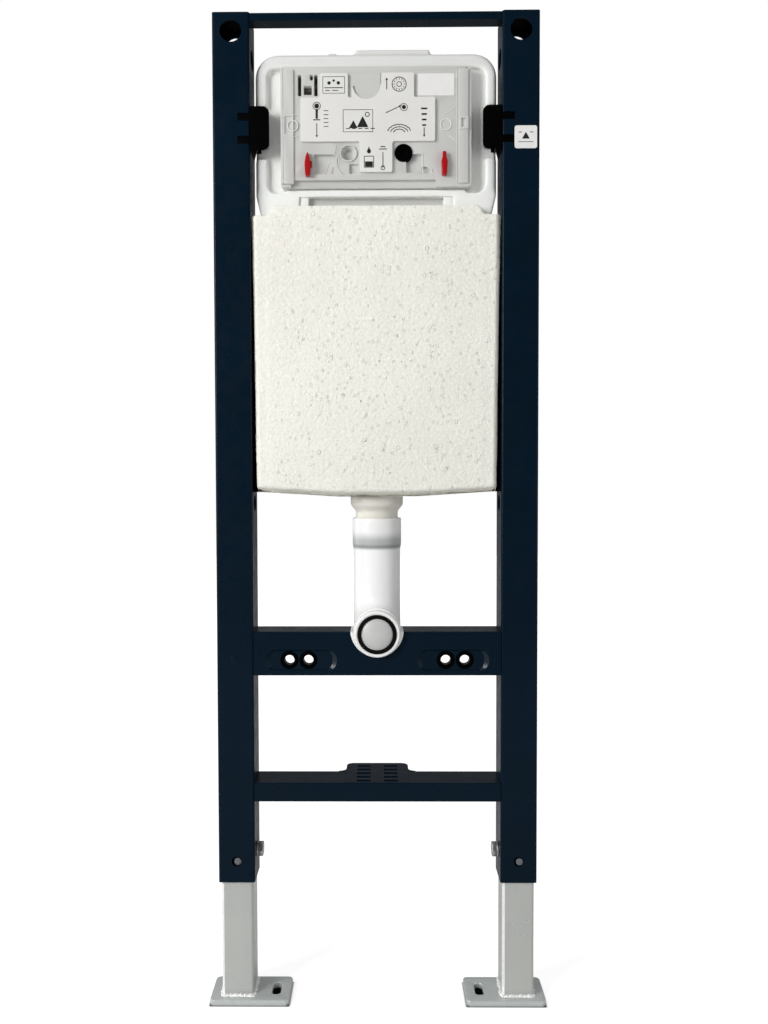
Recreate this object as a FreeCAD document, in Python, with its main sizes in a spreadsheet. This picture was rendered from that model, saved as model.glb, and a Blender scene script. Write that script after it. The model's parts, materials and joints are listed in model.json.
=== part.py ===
import FreeCAD, Part
import os
import re
import Sketcher

# Wall hung toilet frame: two square posts with cross bars, telescopic legs on foot plates,
# a concealed cistern in a foam jacket, its service panel and the flush bend.
# Millimetres, +Z up, the front of the frame faces -Y.
# The origin is on the underside of the left foot plate, on the axis of the left leg.

doc = FreeCAD.newDocument("ToiletFrame")

# Driving dimensions
sizes = {
    # posts
    "post_spacing": 372.0,
    "post_size": 48.0,
    "post_wall": 2.5,
    "post_corner": 3.0,
    "post_length": 1130.0,
    "post_bottom": 162.0,
    "tube_inner_corner": 0.8,
    "cap_thickness": 4.0,
    "cap_clearance": 0.2,
    "wall_hole_diameter": 28.0,
    "wall_hole_drop": 23.5,
    "upper_side_hole_diameter": 25.0,
    "upper_side_hole_drop": 50.5,
    "lower_side_hole_diameter": 21.0,
    "lower_side_hole_rise": 501.0,
    "sight_hole_diameter": 13.0,
    "sight_hole_rise": 28.0,
    # legs and foot plates
    "leg_clearance": 0.5,
    "leg_wall": 2.5,
    "leg_corner": 4.0,
    "leg_length": 350.0,
    "plate_length": 105.0,
    "plate_depth": 56.0,
    "plate_thickness": 8.0,
    "plate_corner": 6.0,
    "plate_outer_margin": 15.0,
    "plate_back_margin": 3.0,
    "plate_slot_width": 11.7,
    "plate_slot_length": 27.0,
    "plate_slot_offset": 50.0,
    "slot_end_corner": 5.0,
    # clamp bolts
    "bolt_diameter": 10.0,
    "bolt_hole_clearance": 0.2,
    "bolt_rise": 35.5,
    "bolt_tip_gap": 0.3,
    "bolt_washer_diameter": 20.0,
    "bolt_washer_thickness": 2.0,
    "bolt_head_circumradius": 9.8,
    "bolt_head_height": 6.4,
    # cross bars
    "bar_wall": 2.0,
    "bar_corner": 1.5,
    "top_bar_height": 10.0,
    "top_bar_depth": 21.0,
    "top_bar_recess": 2.0,
    "lower_bar_rise": 108.0,
    "lower_bar_height": 25.0,
    # pan beam
    "beam_rise": 275.0,
    "beam_height": 58.0,
    "beam_wall": 3.0,
    "pan_hole_inner_spacing": 180.0,
    "pan_hole_outer_spacing": 230.0,
    "pan_hole_rise": 20.5,
    "pan_hole_front_diameter": 24.0,
    "pan_bolt_hole_diameter": 13.0,
    "pan_back_hole_diameter": 30.0,
    "pan_nut_set_back": 4.0,
    "pan_nut_thickness": 12.0,
    "pan_nut_margin": 3.0,
    "pan_recess_margin": 34.5,
    "pan_recess_height": 28.0,
    "pan_recess_corner": 13.5,
    "pan_recess_depth": 1.2,
    "pan_recess_shift": 3.0,
    # waste bracket
    "waste_slot_length": 18.5,
    "waste_slot_width": 7.0,
    "waste_slot_inner": 9.0,
    "waste_slot_first": 9.0,
    "waste_slot_pitch": 14.6,
    "bracket_side_margin": 15.0,
    "bracket_back_margin": 10.1,
    "bracket_thickness": 1.5,
    "bracket_corner": 10.0,
    # cistern tank
    "tank_side_gap": 5.0,
    "tank_front_set_back": 14.0,
    "tank_depth": 100.0,
    "tank_back_step": 18.0,
    "tank_drop": 46.0,
    "tank_head_height": 180.0,
    "tank_corner": 30.0,
    "tank_edge": 7.0,
    "tank_wall": 4.0,
    "tank_taper": 7.0,
    "tank_rim": 15.0,
    "tank_rim_top": 19.0,
    "tank_rim_bottom": 1.0,
    "tank_recess_corner": 12.0,
    "tank_recess_depth": 8.0,
    "ledge_inset": 25.0,
    "ledge_gap": 0.3,
    "channel_inset": 57.0,
    "channel_drop": 4.0,
    "channel_depth": 12.0,
    "rib_width": 12.0,
    "rib_set_back": 3.0,
    "tank_boss_left": 27.0,
    "tank_boss_right": 70.0,
    "tank_boss_height": 7.0,
    "tank_boss_margin": 5.0,
    # foam jacket
    "jacket_top_side_gap": 0.8,
    "jacket_bottom_side_gap": 7.4,
    "jacket_side_wall": 11.0,
    "jacket_back_wall": 16.0,
    "jacket_floor": 12.0,
    "jacket_top_gap": 19.0,
    "jacket_tab_height": 11.0,
    "jacket_tab_inset": 24.0,
    "jacket_tab_corner": 8.0,
    "jacket_corner": 5.0,
    "jacket_belly_width": 104.0,
    "jacket_belly_drop": 6.0,
    "jacket_clearance": 0.3,
    # tank clamps
    "clamp_width": 25.0,
    "clamp_rise": 51.0,
    "clamp_height": 56.0,
    "clamp_corner": 9.0,
    "clamp_web_depth": 40.0,
    "clamp_clearance": 0.3,
    "clamp_top_gap": 5.0,
    "clamp_tab_width": 6.0,
    "clamp_tab_drop": 5.0,
    "clamp_tab_inset": 9.0,
    "prong_height": 9.3,
    "prong_length": 15.5,
    "prong_depth": 8.0,
    "upper_prong_rise": 38.0,
    "lower_prong_rise": 9.0,
    # service panel
    "panel_side_margin": 34.0,
    "panel_rise": 5.7,
    "panel_top_margin": 21.0,
    "panel_corner": 4.0,
    "panel_stand_out": 8.0,
    "panel_hole_radius": 11.6,
    "panel_hole_offset": 35.5,
    "panel_hole_rise": 43.0,
    "panel_pocket_depth": 5.0,
    "panel_pocket_width": 25.5,
    "panel_pocket_rise": 17.0,
    "panel_pocket_height": 25.0,
    "window_side_margin": 23.0,
    "window_end_margin": 22.5,
    "guide_rise": 57.0,
    "guide_top_margin": 40.6,
    "guide_left_margin": 26.0,
    "guide_right_margin": 47.0,
    "guide_thickness": 3.5,
    "tab_top_margin": 9.7,
    "left_tab_inner": 36.0,
    "left_tab_outer": 72.0,
    "right_tab_inner": 7.0,
    "right_tab_outer": 49.0,
    "lower_tab_half_width": 21.0,
    "lower_tab_drop": 39.0,
    "thumb_notch_radius": 18.0,
    "thumb_notch_offset": 12.0,
    "pin_margin": 35.0,
    "pin_pocket_gap": 8.0,
    "pin_width": 8.0,
    "pin_height": 30.0,
    "pin_rise": 13.0,
    "pin_reach": 8.0,
    "ring_wall": 2.0,
    "ring_reach": 1.5,
    "insert_clearance": 0.2,
    "label_margin": 22.0,
    "label_width": 47.0,
    "label_height": 28.0,
    "label_thickness": 0.5,
    "side_strip_width": 13.0,
    "side_strip_margin": 4.0,
    "side_strip_thickness": 2.0,
    # flush bend and neck, from the outlet up to the tank
    "outlet_drop": 2.0,
    "outlet_reach": 10.0,
    "bend_radius": 45.0,
    "bend_set_back": 9.0,
    "pipe_radius": 31.5,
    "pipe_wall": 3.5,
    "pipe_rise": 64.0,
    "socket_height": 40.0,
    "socket_step": 1.5,
    "socket_wall": 2.4,
    "seal_seat": 2.0,
    "seal_height": 14.0,
    "seal_wall": 1.7,
    "seal_clearance": 0.2,
    "neck_seat": 4.0,
    "neck_cone_gap": 11.0,
    "neck_cone_height": 9.0,
    "neck_top_height": 28.0,
    "neck_step": 7.0,
    "neck_wall": 3.5,
    "neck_clearance": 0.5,
    "collar_step": 1.0,
    "collar_length": 8.5,
    "collar_wall": 4.9,
    "mouth_depth": 10.0,
    "outlet_seal_wall": 4.6,
    "outlet_seal_reach": 1.0,
    "plug_thickness": 5.0,
    "plug_recess": 4.0,
    "run_step": 2.0,
    "saddle_wall": 5.0,
    "saddle_pipe_gap": 0.4,
    "saddle_rise": 4.0,
    "saddle_reach": 1.0,
    "saddle_cheek_drop": 12.0,
    "saddle_clearance": 0.1,
    # level sticker
    "sticker_size": 28.8,
    "sticker_corner": 3.0,
    "sticker_thickness": 0.4,
    "sticker_drop": 160.0,
    "sticker_offset": 6.0,
    # how far a cutting tool runs past the face it opens, and how near an edge counts as on a level
    "overshoot": 2.0,
    "pick_margin": 0.5,
}

# Sizes and places that follow from the driving dimensions
derived = {
    "center": "post_spacing / 2",
    "front": "-post_size / 2",
    "back": "post_size / 2",
    "post_top": "post_bottom + post_length",
    "clear_width": "post_spacing - post_size",
    "inner_face": "clear_width / 2",
    "leg_size": "post_size - 2 * post_wall - 2 * leg_clearance",
    "cap_size": "post_size - 2 * post_wall - 2 * cap_clearance",
    "plate_outer_edge": "leg_size / 2 + plate_outer_margin",
    "plate_back": "leg_size / 2 + plate_back_margin",
    "plate_cut": "plate_thickness + 2 * overshoot",
    "bolt_height": "post_bottom + bolt_rise",
    "lower_bar_bottom": "post_bottom + lower_bar_rise",
    "lower_bar_top": "lower_bar_bottom + lower_bar_height",
    "bracket_half": "waste_slot_inner + waste_slot_length + bracket_side_margin",
    "bracket_back": "front + waste_slot_first + 4 * waste_slot_pitch + waste_slot_width / 2 + bracket_back_margin",
    "beam_bottom": "post_bottom + beam_rise",
    "beam_top": "beam_bottom + beam_height",
    "pan_hole_height": "beam_bottom + pan_hole_rise",
    "pan_nut_front": "front + pan_nut_set_back",
    "pan_nut_half": "pan_hole_front_diameter / 2 + pan_nut_margin",
    "pan_recess_length": "(pan_hole_outer_spacing - pan_hole_inner_spacing) / 2 + 2 * pan_recess_margin",
    "pan_recess_offset": "(pan_hole_outer_spacing + pan_hole_inner_spacing) / 4 - pan_recess_shift",
    "pan_recess_cut": "pan_recess_depth + overshoot",
    "outlet_height": "beam_top - outlet_drop",
    "outlet_front": "front - outlet_reach",
    "collar_back": "outlet_front + collar_length",
    "mouth_back": "outlet_front + mouth_depth",
    "bend_center": "front + bend_set_back",
    "flush_axis": "bend_center + bend_radius",
    "bend_top": "outlet_height + bend_radius",
    "pipe_bore": "pipe_radius - pipe_wall",
    "socket_bottom": "bend_top + pipe_rise",
    "socket_top": "socket_bottom + socket_height",
    "socket_radius": "pipe_radius + socket_step",
    "socket_bore": "socket_radius - socket_wall",
    "seal_bottom": "socket_bottom + seal_seat",
    "neck_spigot_radius": "socket_bore - seal_wall - 2 * seal_clearance",
    "neck_radius": "neck_spigot_radius + neck_step",
    "neck_bore": "neck_spigot_radius - neck_wall",
    "neck_spigot_bottom": "socket_bottom + neck_seat",
    "neck_cone_bottom": "socket_top + neck_cone_gap",
    "neck_cone_top": "neck_cone_bottom + neck_cone_height",
    "collar_radius": "pipe_radius - collar_step",
    "mouth_radius": "collar_radius - collar_wall",
    "outlet_seal_bore": "mouth_radius - seal_clearance - outlet_seal_wall",
    "run_radius": "pipe_radius - run_step",
    "run_bore": "run_radius - pipe_wall",
    "saddle_bore": "run_radius + saddle_pipe_gap",
    "notch_height": "outlet_height + saddle_rise",
    "notch_radius": "saddle_bore + saddle_wall + saddle_clearance",
    "tank_bottom": "neck_cone_top + neck_top_height",
    "tank_top": "post_top - tank_drop",
    "tank_shoulder": "tank_top - tank_head_height",
    "tank_width": "clear_width - 2 * tank_side_gap",
    "tank_half": "tank_width / 2",
    "tank_front": "front + tank_front_set_back",
    "tank_back": "tank_front + tank_depth",
    "tank_lower_back": "tank_back - tank_back_step",
    "recess_floor": "tank_front + tank_recess_depth",
    "recess_half": "tank_half - tank_rim",
    "recess_width": "2 * recess_half",
    "recess_bottom": "tank_shoulder + tank_rim_bottom",
    "recess_top": "tank_top - tank_rim_top",
    "recess_height": "recess_top - recess_bottom",
    "recess_cut": "tank_recess_depth + overshoot",
    "jacket_top_width": "clear_width - 2 * jacket_top_side_gap",
    "jacket_bottom_width": "clear_width - 2 * jacket_bottom_side_gap",
    "jacket_bottom": "tank_bottom - jacket_floor",
    "jacket_base": "jacket_bottom - jacket_belly_drop",
    "jacket_top": "tank_shoulder - jacket_top_gap",
    "jacket_shoulder": "jacket_top - jacket_tab_height",
    "jacket_tab_half": "jacket_top_width / 2 - jacket_tab_inset",
    "jacket_back": "tank_lower_back + jacket_back_wall",
    "tank_lower_half": "jacket_bottom_width / 2 - jacket_side_wall",
    "tank_taper_bottom": "jacket_shoulder + jacket_clearance",
    "channel_half": "tank_half - channel_inset",
    "channel_top": "tank_shoulder - channel_drop",
    "channel_back": "tank_front + channel_depth",
    "clamp_bottom": "tank_shoulder + clamp_rise",
    "clamp_top": "clamp_bottom + clamp_height",
    "panel_width": "tank_width - 2 * panel_side_margin",
    "panel_half": "panel_width / 2",
    "panel_height": "tank_head_height - panel_rise - panel_top_margin",
    "panel_bottom": "tank_shoulder + panel_rise",
    "panel_top": "panel_bottom + panel_height",
    "panel_middle": "panel_bottom + panel_height / 2",
    "panel_thickness": "panel_stand_out + tank_recess_depth",
    "panel_front": "tank_front - panel_stand_out",
    "guide_bottom": "panel_bottom + guide_rise",
    "guide_top": "panel_top - guide_top_margin",
    "guide_front": "panel_front - guide_thickness",
    "tab_top": "panel_top - tab_top_margin",
    "pin_offset": "panel_half - pin_margin",
    "pocket_outer": "pin_offset - pin_pocket_gap",
}

sheet = doc.addObject("Spreadsheet::Sheet", "Sizes")
for row, (alias, size) in enumerate(sizes.items(), start=1):
    sheet.set(f"A{row}", alias)
    sheet.set(f"B{row}", str(size))
    sheet.setAlias(f"B{row}", alias)
doc.recompute()


def formula(words):
    """Turns plain names into references to the two sheets."""
    def reference(match):
        name = match.group()
        if name in sizes:
            return "Sizes." + name
        return "Places." + name
    return re.sub(r"[a-z_]+", reference, words)


places = doc.addObject("Spreadsheet::Sheet", "Places")
for row, (alias, words) in enumerate(derived.items(), start=1):
    places.set(f"A{row}", alias)
    places.setAlias(f"B{row}", alias)
    places.set(f"B{row}", "=" + formula(words))
doc.recompute()


def number(alias):
    """The present value of a named size, for first drawings that constraints then hold."""
    if alias in sizes:
        return float(sheet.get(alias))
    return float(places.get(alias))


def bind(item, prop, words):
    item.setExpression(prop, formula(words))


def put(item, x, y, z):
    for axis, words in zip("xyz", (x, y, z)):
        bind(item, f"Placement.Base.{axis}", words)
    return item


# Shapes that several sub-parts share
def block(name, x, y, z):
    """A box between the low and high formulas of each axis."""
    box = doc.addObject("Part::Box", name)
    for prop, (low, high) in zip(("Length", "Width", "Height"), (x, y, z)):
        bind(box, prop, f"({high}) - ({low})")
    return put(box, x[0], y[0], z[0])


turns = {
    "x": FreeCAD.Rotation(FreeCAD.Vector(0, 1, 0), 90),
    "y": FreeCAD.Rotation(FreeCAD.Vector(1, 0, 0), -90),
    "z": FreeCAD.Rotation(),
}


def rod(name, along, radius, x, y, z):
    """A cylinder along one axis: that axis has a low and a high formula, the others one each."""
    cylinder = doc.addObject("Part::Cylinder", name)
    cylinder.Placement = FreeCAD.Placement(FreeCAD.Vector(), turns[along])
    spans = {"x": x, "y": y, "z": z}
    low, high = spans[along]
    spans[along] = low
    bind(cylinder, "Radius", radius)
    bind(cylinder, "Height", f"({high}) - ({low})")
    return put(cylinder, spans["x"], spans["y"], spans["z"])


def tapered(name, low_width, high_width, y, z):
    """A block about the centre plane whose width changes from its low to its high level."""
    wedge = doc.addObject("Part::Wedge", name)
    upright = FreeCAD.Rotation(FreeCAD.Vector(1, 0, 0), 90)
    wedge.Placement = FreeCAD.Placement(FreeCAD.Vector(), upright)
    depth = f"({y[1]}) - ({y[0]})"
    extents = {
        "Xmin": f"-({low_width}) / 2", "Xmax": f"({low_width}) / 2",
        "X2min": f"-({high_width}) / 2", "X2max": f"({high_width}) / 2",
        "Ymin": "0", "Ymax": f"({z[1]}) - ({z[0]})",
        "Zmin": "0", "Zmax": depth, "Z2min": "0", "Z2max": depth,
    }
    for prop, words in extents.items():
        bind(wedge, prop, words)
    return put(wedge, "center", y[1], z[0])


def fuse(name, shapes):
    union = doc.addObject("Part::MultiFuse", name)
    union.Shapes = shapes
    union.Refine = True
    return union


def cut(name, base, tools):
    remainder = doc.addObject("Part::Cut", name)
    remainder.Base = base
    remainder.Tool = tools[0] if len(tools) == 1 else fuse(name + "_tools", tools)
    return remainder


def rounded(name, base, radius, pick):
    """Rounds the edges of a finished shape that pick accepts."""
    doc.recompute()
    fillet = doc.addObject("Part::Fillet", name)
    fillet.Base = base
    size = number(radius)
    edges = enumerate(base.Shape.Edges, start=1)
    fillet.Edges = [(index, size, size) for index, edge in edges if pick(edge)]
    return fillet


def runs_along(edge, axis):
    """True for an edge whose two ends differ along the named axis alone."""
    ends = [vertex.Point for vertex in edge.Vertexes]
    others = [other for other in "xyz" if other != axis]
    margin = number("pick_margin")
    return all(abs(getattr(ends[0], other) - getattr(ends[-1], other)) < margin for other in others)


def at_level(edge, axis, level):
    """True for an edge whose middle lies on the named level."""
    return abs(getattr(edge.CenterOfMass, axis) - level) < number("pick_margin")


def draw_rounded_rectangle(sketch, title, width, height, corner, inset=None):
    """Four lines and four arcs about the sketch's origin, held by named constraints."""
    shrink = 2 * number(inset) if inset else 0.0
    half_width = (number(width) - shrink) / 2
    half_height = (number(height) - shrink) / 2
    radius = number(corner)
    flat_x = half_width - radius
    flat_y = half_height - radius
    first = sketch.GeometryCount
    ends = (
        ((-flat_x, -half_height), (flat_x, -half_height)),
        ((half_width, -flat_y), (half_width, flat_y)),
        ((flat_x, half_height), (-flat_x, half_height)),
        ((-half_width, flat_y), (-half_width, -flat_y)),
    )
    for start, end in ends:
        sketch.addGeometry(Part.LineSegment(FreeCAD.Vector(*start), FreeCAD.Vector(*end)))
    quarter = 1.5707963267948966
    corners = ((flat_x, -flat_y), (flat_x, flat_y), (-flat_x, flat_y), (-flat_x, -flat_y))
    for step, middle in enumerate(corners):
        circle = Part.Circle(FreeCAD.Vector(*middle), FreeCAD.Vector(0, 0, 1), radius)
        sketch.addGeometry(Part.ArcOfCircle(circle, (step - 1) * quarter, step * quarter))
    for step in range(4):
        line = first + step
        arc = first + 4 + step
        following = first + (step + 1) % 4
        sketch.addConstraint(Sketcher.Constraint("Tangent", line, 2, arc, 1))
        sketch.addConstraint(Sketcher.Constraint("Tangent", arc, 2, following, 1))
        straight = "Horizontal" if step % 2 == 0 else "Vertical"
        sketch.addConstraint(Sketcher.Constraint(straight, line))
        if step:
            sketch.addConstraint(Sketcher.Constraint("Equal", first + 4, arc))
    sketch.addConstraint(Sketcher.Constraint("Symmetric", first, 1, first + 2, 1, -1, 1))
    taken_off = f" - 2 * {inset}" if inset else ""
    held = (
        ("Width", ("DistanceX", first + 3, 1, first + 1, 1, 2 * half_width), width + taken_off),
        ("Height", ("DistanceY", first, 1, first + 2, 1, 2 * half_height), height + taken_off),
        ("Corner", ("Radius", first + 4, radius), corner),
    )
    for word, constraint, words in held:
        index = sketch.addConstraint(Sketcher.Constraint(*constraint))
        sketch.renameConstraint(index, title + word)
        bind(sketch, f"Constraints.{title}{word}", words)


def rounded_bar(name, plane, width, height, corner, length, place, wall=None):
    """A padded rounded rectangle, hollow where a wall is named, set at three formulas."""
    body = doc.addObject("PartDesign::Body", name)
    sketch = body.newObject("Sketcher::SketchObject", name + "_profile")
    support = next(item for item in body.Origin.OriginFeatures if item.Role == plane)
    sketch.AttachmentSupport = [(support, "")]
    sketch.MapMode = "FlatFace"
    draw_rounded_rectangle(sketch, "Outer", width, height, corner)
    if wall:
        draw_rounded_rectangle(sketch, "Inner", width, height, "tube_inner_corner", wall)
    pad = body.newObject("PartDesign::Pad", name + "_pad")
    pad.Profile = sketch
    bind(pad, "Length", length)
    return put(body, *place)


def across(side, near, far):
    """The range of X between two distances from the centre plane, on one side."""
    if side == "left":
        return f"center - ({far})", f"center - ({near})"
    return f"center + ({near})", f"center + ({far})"


def astride(half):
    """The range of X on both sides of the centre plane."""
    return f"center - ({half})", f"center + ({half})"


sides = ("left", "right")
post_axis = {"left": "0", "right": "post_spacing"}
outward = {"left": "-", "right": "+"}
inward = {"left": "+", "right": "-"}
nodes = []


def keep(item):
    nodes.append(item)
    return item


# Foot plates, with the slot for the floor bolt towards the middle of the frame
for side in sides:
    axis = post_axis[side]
    sign = inward[side]
    slab = rounded_bar(
        f"{side}_plate_slab", "XY_Plane", "plate_length", "plate_depth", "plate_corner", "plate_thickness",
        (f"{axis} {sign} (plate_length / 2 - plate_outer_edge)", "plate_back - plate_depth / 2", "0"))
    slot = rounded_bar(
        f"{side}_plate_slot", "XY_Plane", "plate_slot_width", "plate_slot_length", "slot_end_corner", "plate_cut",
        (f"{axis} {sign} plate_slot_offset", "plate_back - plate_depth / 2", "-overshoot"))
    keep(cut(f"{side}_foot_plate", slab, [slot]))

# Telescopic legs, which slide inside the posts
for side in sides:
    keep(rounded_bar(
        f"{side}_leg", "XY_Plane", "leg_size", "leg_size", "leg_corner", "leg_length",
        (post_axis[side], "0", "plate_thickness"), wall="leg_wall"))

# Posts with their fixing holes and the slots of the tank clamps
for side in sides:
    axis = post_axis[side]
    tube = rounded_bar(
        f"{side}_post_tube", "XY_Plane", "post_size", "post_size", "post_corner", "post_length",
        (axis, "0", "post_bottom"), wall="post_wall")
    inner_wall = across(side, "inner_face - overshoot", "inner_face + post_size / 2")
    openings = [
        rod(f"{side}_wall_hole", "y", "wall_hole_diameter / 2",
            axis, ("front - overshoot", "back + overshoot"), "post_top - wall_hole_drop"),
        rod(f"{side}_upper_side_hole", "x", "upper_side_hole_diameter / 2",
            inner_wall, "0", "post_top - upper_side_hole_drop"),
        rod(f"{side}_lower_side_hole", "x", "lower_side_hole_diameter / 2",
            inner_wall, "0", "post_bottom + lower_side_hole_rise"),
        rod(f"{side}_bolt_hole", "x", "bolt_diameter / 2 + bolt_hole_clearance",
            inner_wall, "0", "bolt_height"),
        rod(f"{side}_sight_hole", "y", "sight_hole_diameter / 2",
            axis, ("front - overshoot", "0"), "post_bottom + sight_hole_rise"),
    ]
    for level in ("upper", "lower"):
        bottom = f"clamp_bottom + {level}_prong_rise"
        openings.append(block(
            f"{side}_{level}_prong_slot",
            across(side, "inner_face - overshoot", "inner_face + prong_length + clamp_clearance"),
            ("front - overshoot", "front + prong_depth + clamp_clearance"),
            (f"{bottom} - clamp_clearance", f"{bottom} + prong_height + clamp_clearance")))
    keep(cut(f"{side}_post", tube, openings))

# Caps in the open tops of the posts
for side in sides:
    keep(rounded_bar(
        f"{side}_post_cap", "XY_Plane", "cap_size", "cap_size", "tube_inner_corner", "cap_thickness",
        (post_axis[side], "0", "post_top - cap_thickness")))

# Clamp bolts, whose tips press on the legs
for side in sides:
    shank = rod(f"{side}_bolt_shank", "x", "bolt_diameter / 2",
                across(side, "inner_face", "center - leg_size / 2 - bolt_tip_gap"), "0", "bolt_height")
    washer = rod(f"{side}_bolt_washer", "x", "bolt_washer_diameter / 2",
                 across(side, "inner_face - bolt_washer_thickness", "inner_face"), "0", "bolt_height")
    head = doc.addObject("Part::Prism", f"{side}_bolt_head")
    head.Polygon = 6
    head.Placement = FreeCAD.Placement(FreeCAD.Vector(), turns["x"])
    bind(head, "Circumradius", "bolt_head_circumradius")
    bind(head, "Height", "bolt_head_height")
    put(head, across(side, "inner_face - bolt_washer_thickness - bolt_head_height",
                     "inner_face - bolt_washer_thickness")[0], "0", "bolt_height")
    keep(fuse(f"{side}_clamp_bolt", [shank, washer, head]))

# Cross bars and the pan beam between the posts
keep(rounded_bar(
    "top_crossbar", "YZ_Plane", "top_bar_depth", "top_bar_height", "bar_corner", "clear_width",
    ("center - inner_face", "front + top_bar_recess + top_bar_depth / 2", "post_top - top_bar_height / 2"),
    wall="bar_wall"))

beam_tube = rounded_bar(
    "beam_tube", "YZ_Plane", "post_size", "beam_height", "post_corner", "clear_width",
    ("center - inner_face", "0", "beam_bottom + beam_height / 2"), wall="beam_wall")
beam_openings = [
    rod("beam_notch", "y", "notch_radius",
        "center", ("front - overshoot", "back + overshoot"), "notch_height"),
    block("beam_notch_mouth", astride("notch_radius"),
          ("front - overshoot", "back + overshoot"), ("notch_height", "notch_height + notch_radius")),
]
pan_nuts = []
for side in sides:
    sign = outward[side]
    beam_openings.append(rounded_bar(
        f"{side}_pan_recess", "XZ_Plane", "pan_recess_length", "pan_recess_height", "pan_recess_corner",
        "pan_recess_cut", (f"center {sign} pan_recess_offset", "front + pan_recess_depth", "pan_hole_height")))
    pan_nuts.append(block(
        f"{side}_pan_nut",
        across(side, "pan_hole_inner_spacing / 2 - pan_nut_half", "pan_hole_outer_spacing / 2 + pan_nut_half"),
        ("front + beam_wall / 2", "pan_nut_front + pan_nut_thickness"),
        ("pan_hole_height - pan_nut_half", "pan_hole_height + pan_nut_half")))
    for pair in ("inner", "outer"):
        hole_x = f"center {sign} pan_hole_{pair}_spacing / 2"
        beam_openings.append(rod(
            f"{side}_{pair}_pan_front_hole", "y", "pan_hole_front_diameter / 2",
            hole_x, ("front - overshoot", "pan_nut_front"), "pan_hole_height"))
        beam_openings.append(rod(
            f"{side}_{pair}_pan_bolt_hole", "y", "pan_bolt_hole_diameter / 2",
            hole_x, ("front", "back"), "pan_hole_height"))
        beam_openings.append(rod(
            f"{side}_{pair}_pan_back_hole", "y", "pan_back_hole_diameter / 2",
            hole_x, ("pan_nut_front + pan_nut_thickness", "back + overshoot"), "pan_hole_height"))
beam_with_nuts = fuse("beam_with_nuts", [beam_tube] + pan_nuts)
keep(cut("pan_beam", beam_with_nuts, beam_openings))

# Slots for the straps of the waste bend, cut through the bracket and the top of the bar
waste_slots = []
for side in sides:
    for row in range(5):
        slot_front = f"front + waste_slot_first - waste_slot_width / 2 + {row} * waste_slot_pitch"
        waste_slots.append(block(
            f"{side}_waste_slot_{row}",
            across(side, "waste_slot_inner", "waste_slot_inner + waste_slot_length"),
            (slot_front, f"{slot_front} + waste_slot_width"),
            ("lower_bar_top - bar_wall - overshoot", "lower_bar_top + bracket_thickness + overshoot")))
waste_slot_set = fuse("waste_slot_set", waste_slots)

lower_tube = rounded_bar(
    "lower_bar_tube", "YZ_Plane", "post_size", "lower_bar_height", "bar_corner", "clear_width",
    ("center - inner_face", "0", "lower_bar_bottom + lower_bar_height / 2"), wall="bar_wall")
keep(cut("lower_crossbar", lower_tube, [waste_slot_set]))

bracket_levels = ("lower_bar_top", "lower_bar_top + bracket_thickness")
bracket_tongue = block("bracket_tongue", astride("bracket_half"), ("front + bar_corner", "bracket_back"), bracket_levels)
bracket_rounded = rounded(
    "bracket_rounded", bracket_tongue, "bracket_corner",
    lambda edge: runs_along(edge, "z") and at_level(edge, "y", number("bracket_back")))
flares = []
flare_rods = []
for side in sides:
    flares.append(block(
        f"{side}_flare", across(side, "bracket_half - overshoot", "bracket_half + bracket_corner"),
        ("back - bar_corner", "back + bracket_corner"), bracket_levels))
    flare_rods.append(rod(
        f"{side}_flare_round", "z", "bracket_corner",
        f"center {outward[side]} (bracket_half + bracket_corner)", "back + bracket_corner",
        ("lower_bar_top - overshoot", "lower_bar_top + bracket_thickness + overshoot")))
bracket_plate = fuse("bracket_plate", [bracket_rounded] + flares)
keep(cut("waste_bracket", bracket_plate, flare_rods + [waste_slot_set]))

# Cistern tank outside: a wide head with soft edges, a tapered shoulder and a narrower lower body
tank_head = block("tank_head", astride("tank_half"), ("tank_front", "tank_back"), ("tank_shoulder", "tank_top"))
tank_head_rounded = rounded(
    "tank_head_rounded", tank_head, "tank_corner",
    lambda edge: runs_along(edge, "y") and at_level(edge, "z", number("tank_top")))
tank_head_soft = rounded(
    "tank_head_soft", tank_head_rounded, "tank_edge",
    lambda edge: not runs_along(edge, "y") and not at_level(edge, "z", number("tank_shoulder")))
tank_lower_depth = ("tank_front", "tank_lower_back")
tank_taper = tapered("tank_taper_block", "tank_width - 2 * tank_taper", "tank_width", tank_lower_depth,
                     ("tank_taper_bottom", "tank_shoulder"))
tank_lower = block("tank_lower", astride("tank_lower_half"), tank_lower_depth, ("tank_bottom", "tank_shoulder"))
tank_boss = block("tank_boss", ("center - tank_boss_left", "center + tank_boss_right"),
                  ("tank_front + tank_boss_margin", "tank_back - tank_boss_margin"),
                  ("tank_top - tank_wall", "tank_top + tank_boss_height"))
tank_outside = fuse("tank_outside", [tank_head_soft, tank_taper, tank_lower, tank_boss])

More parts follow.
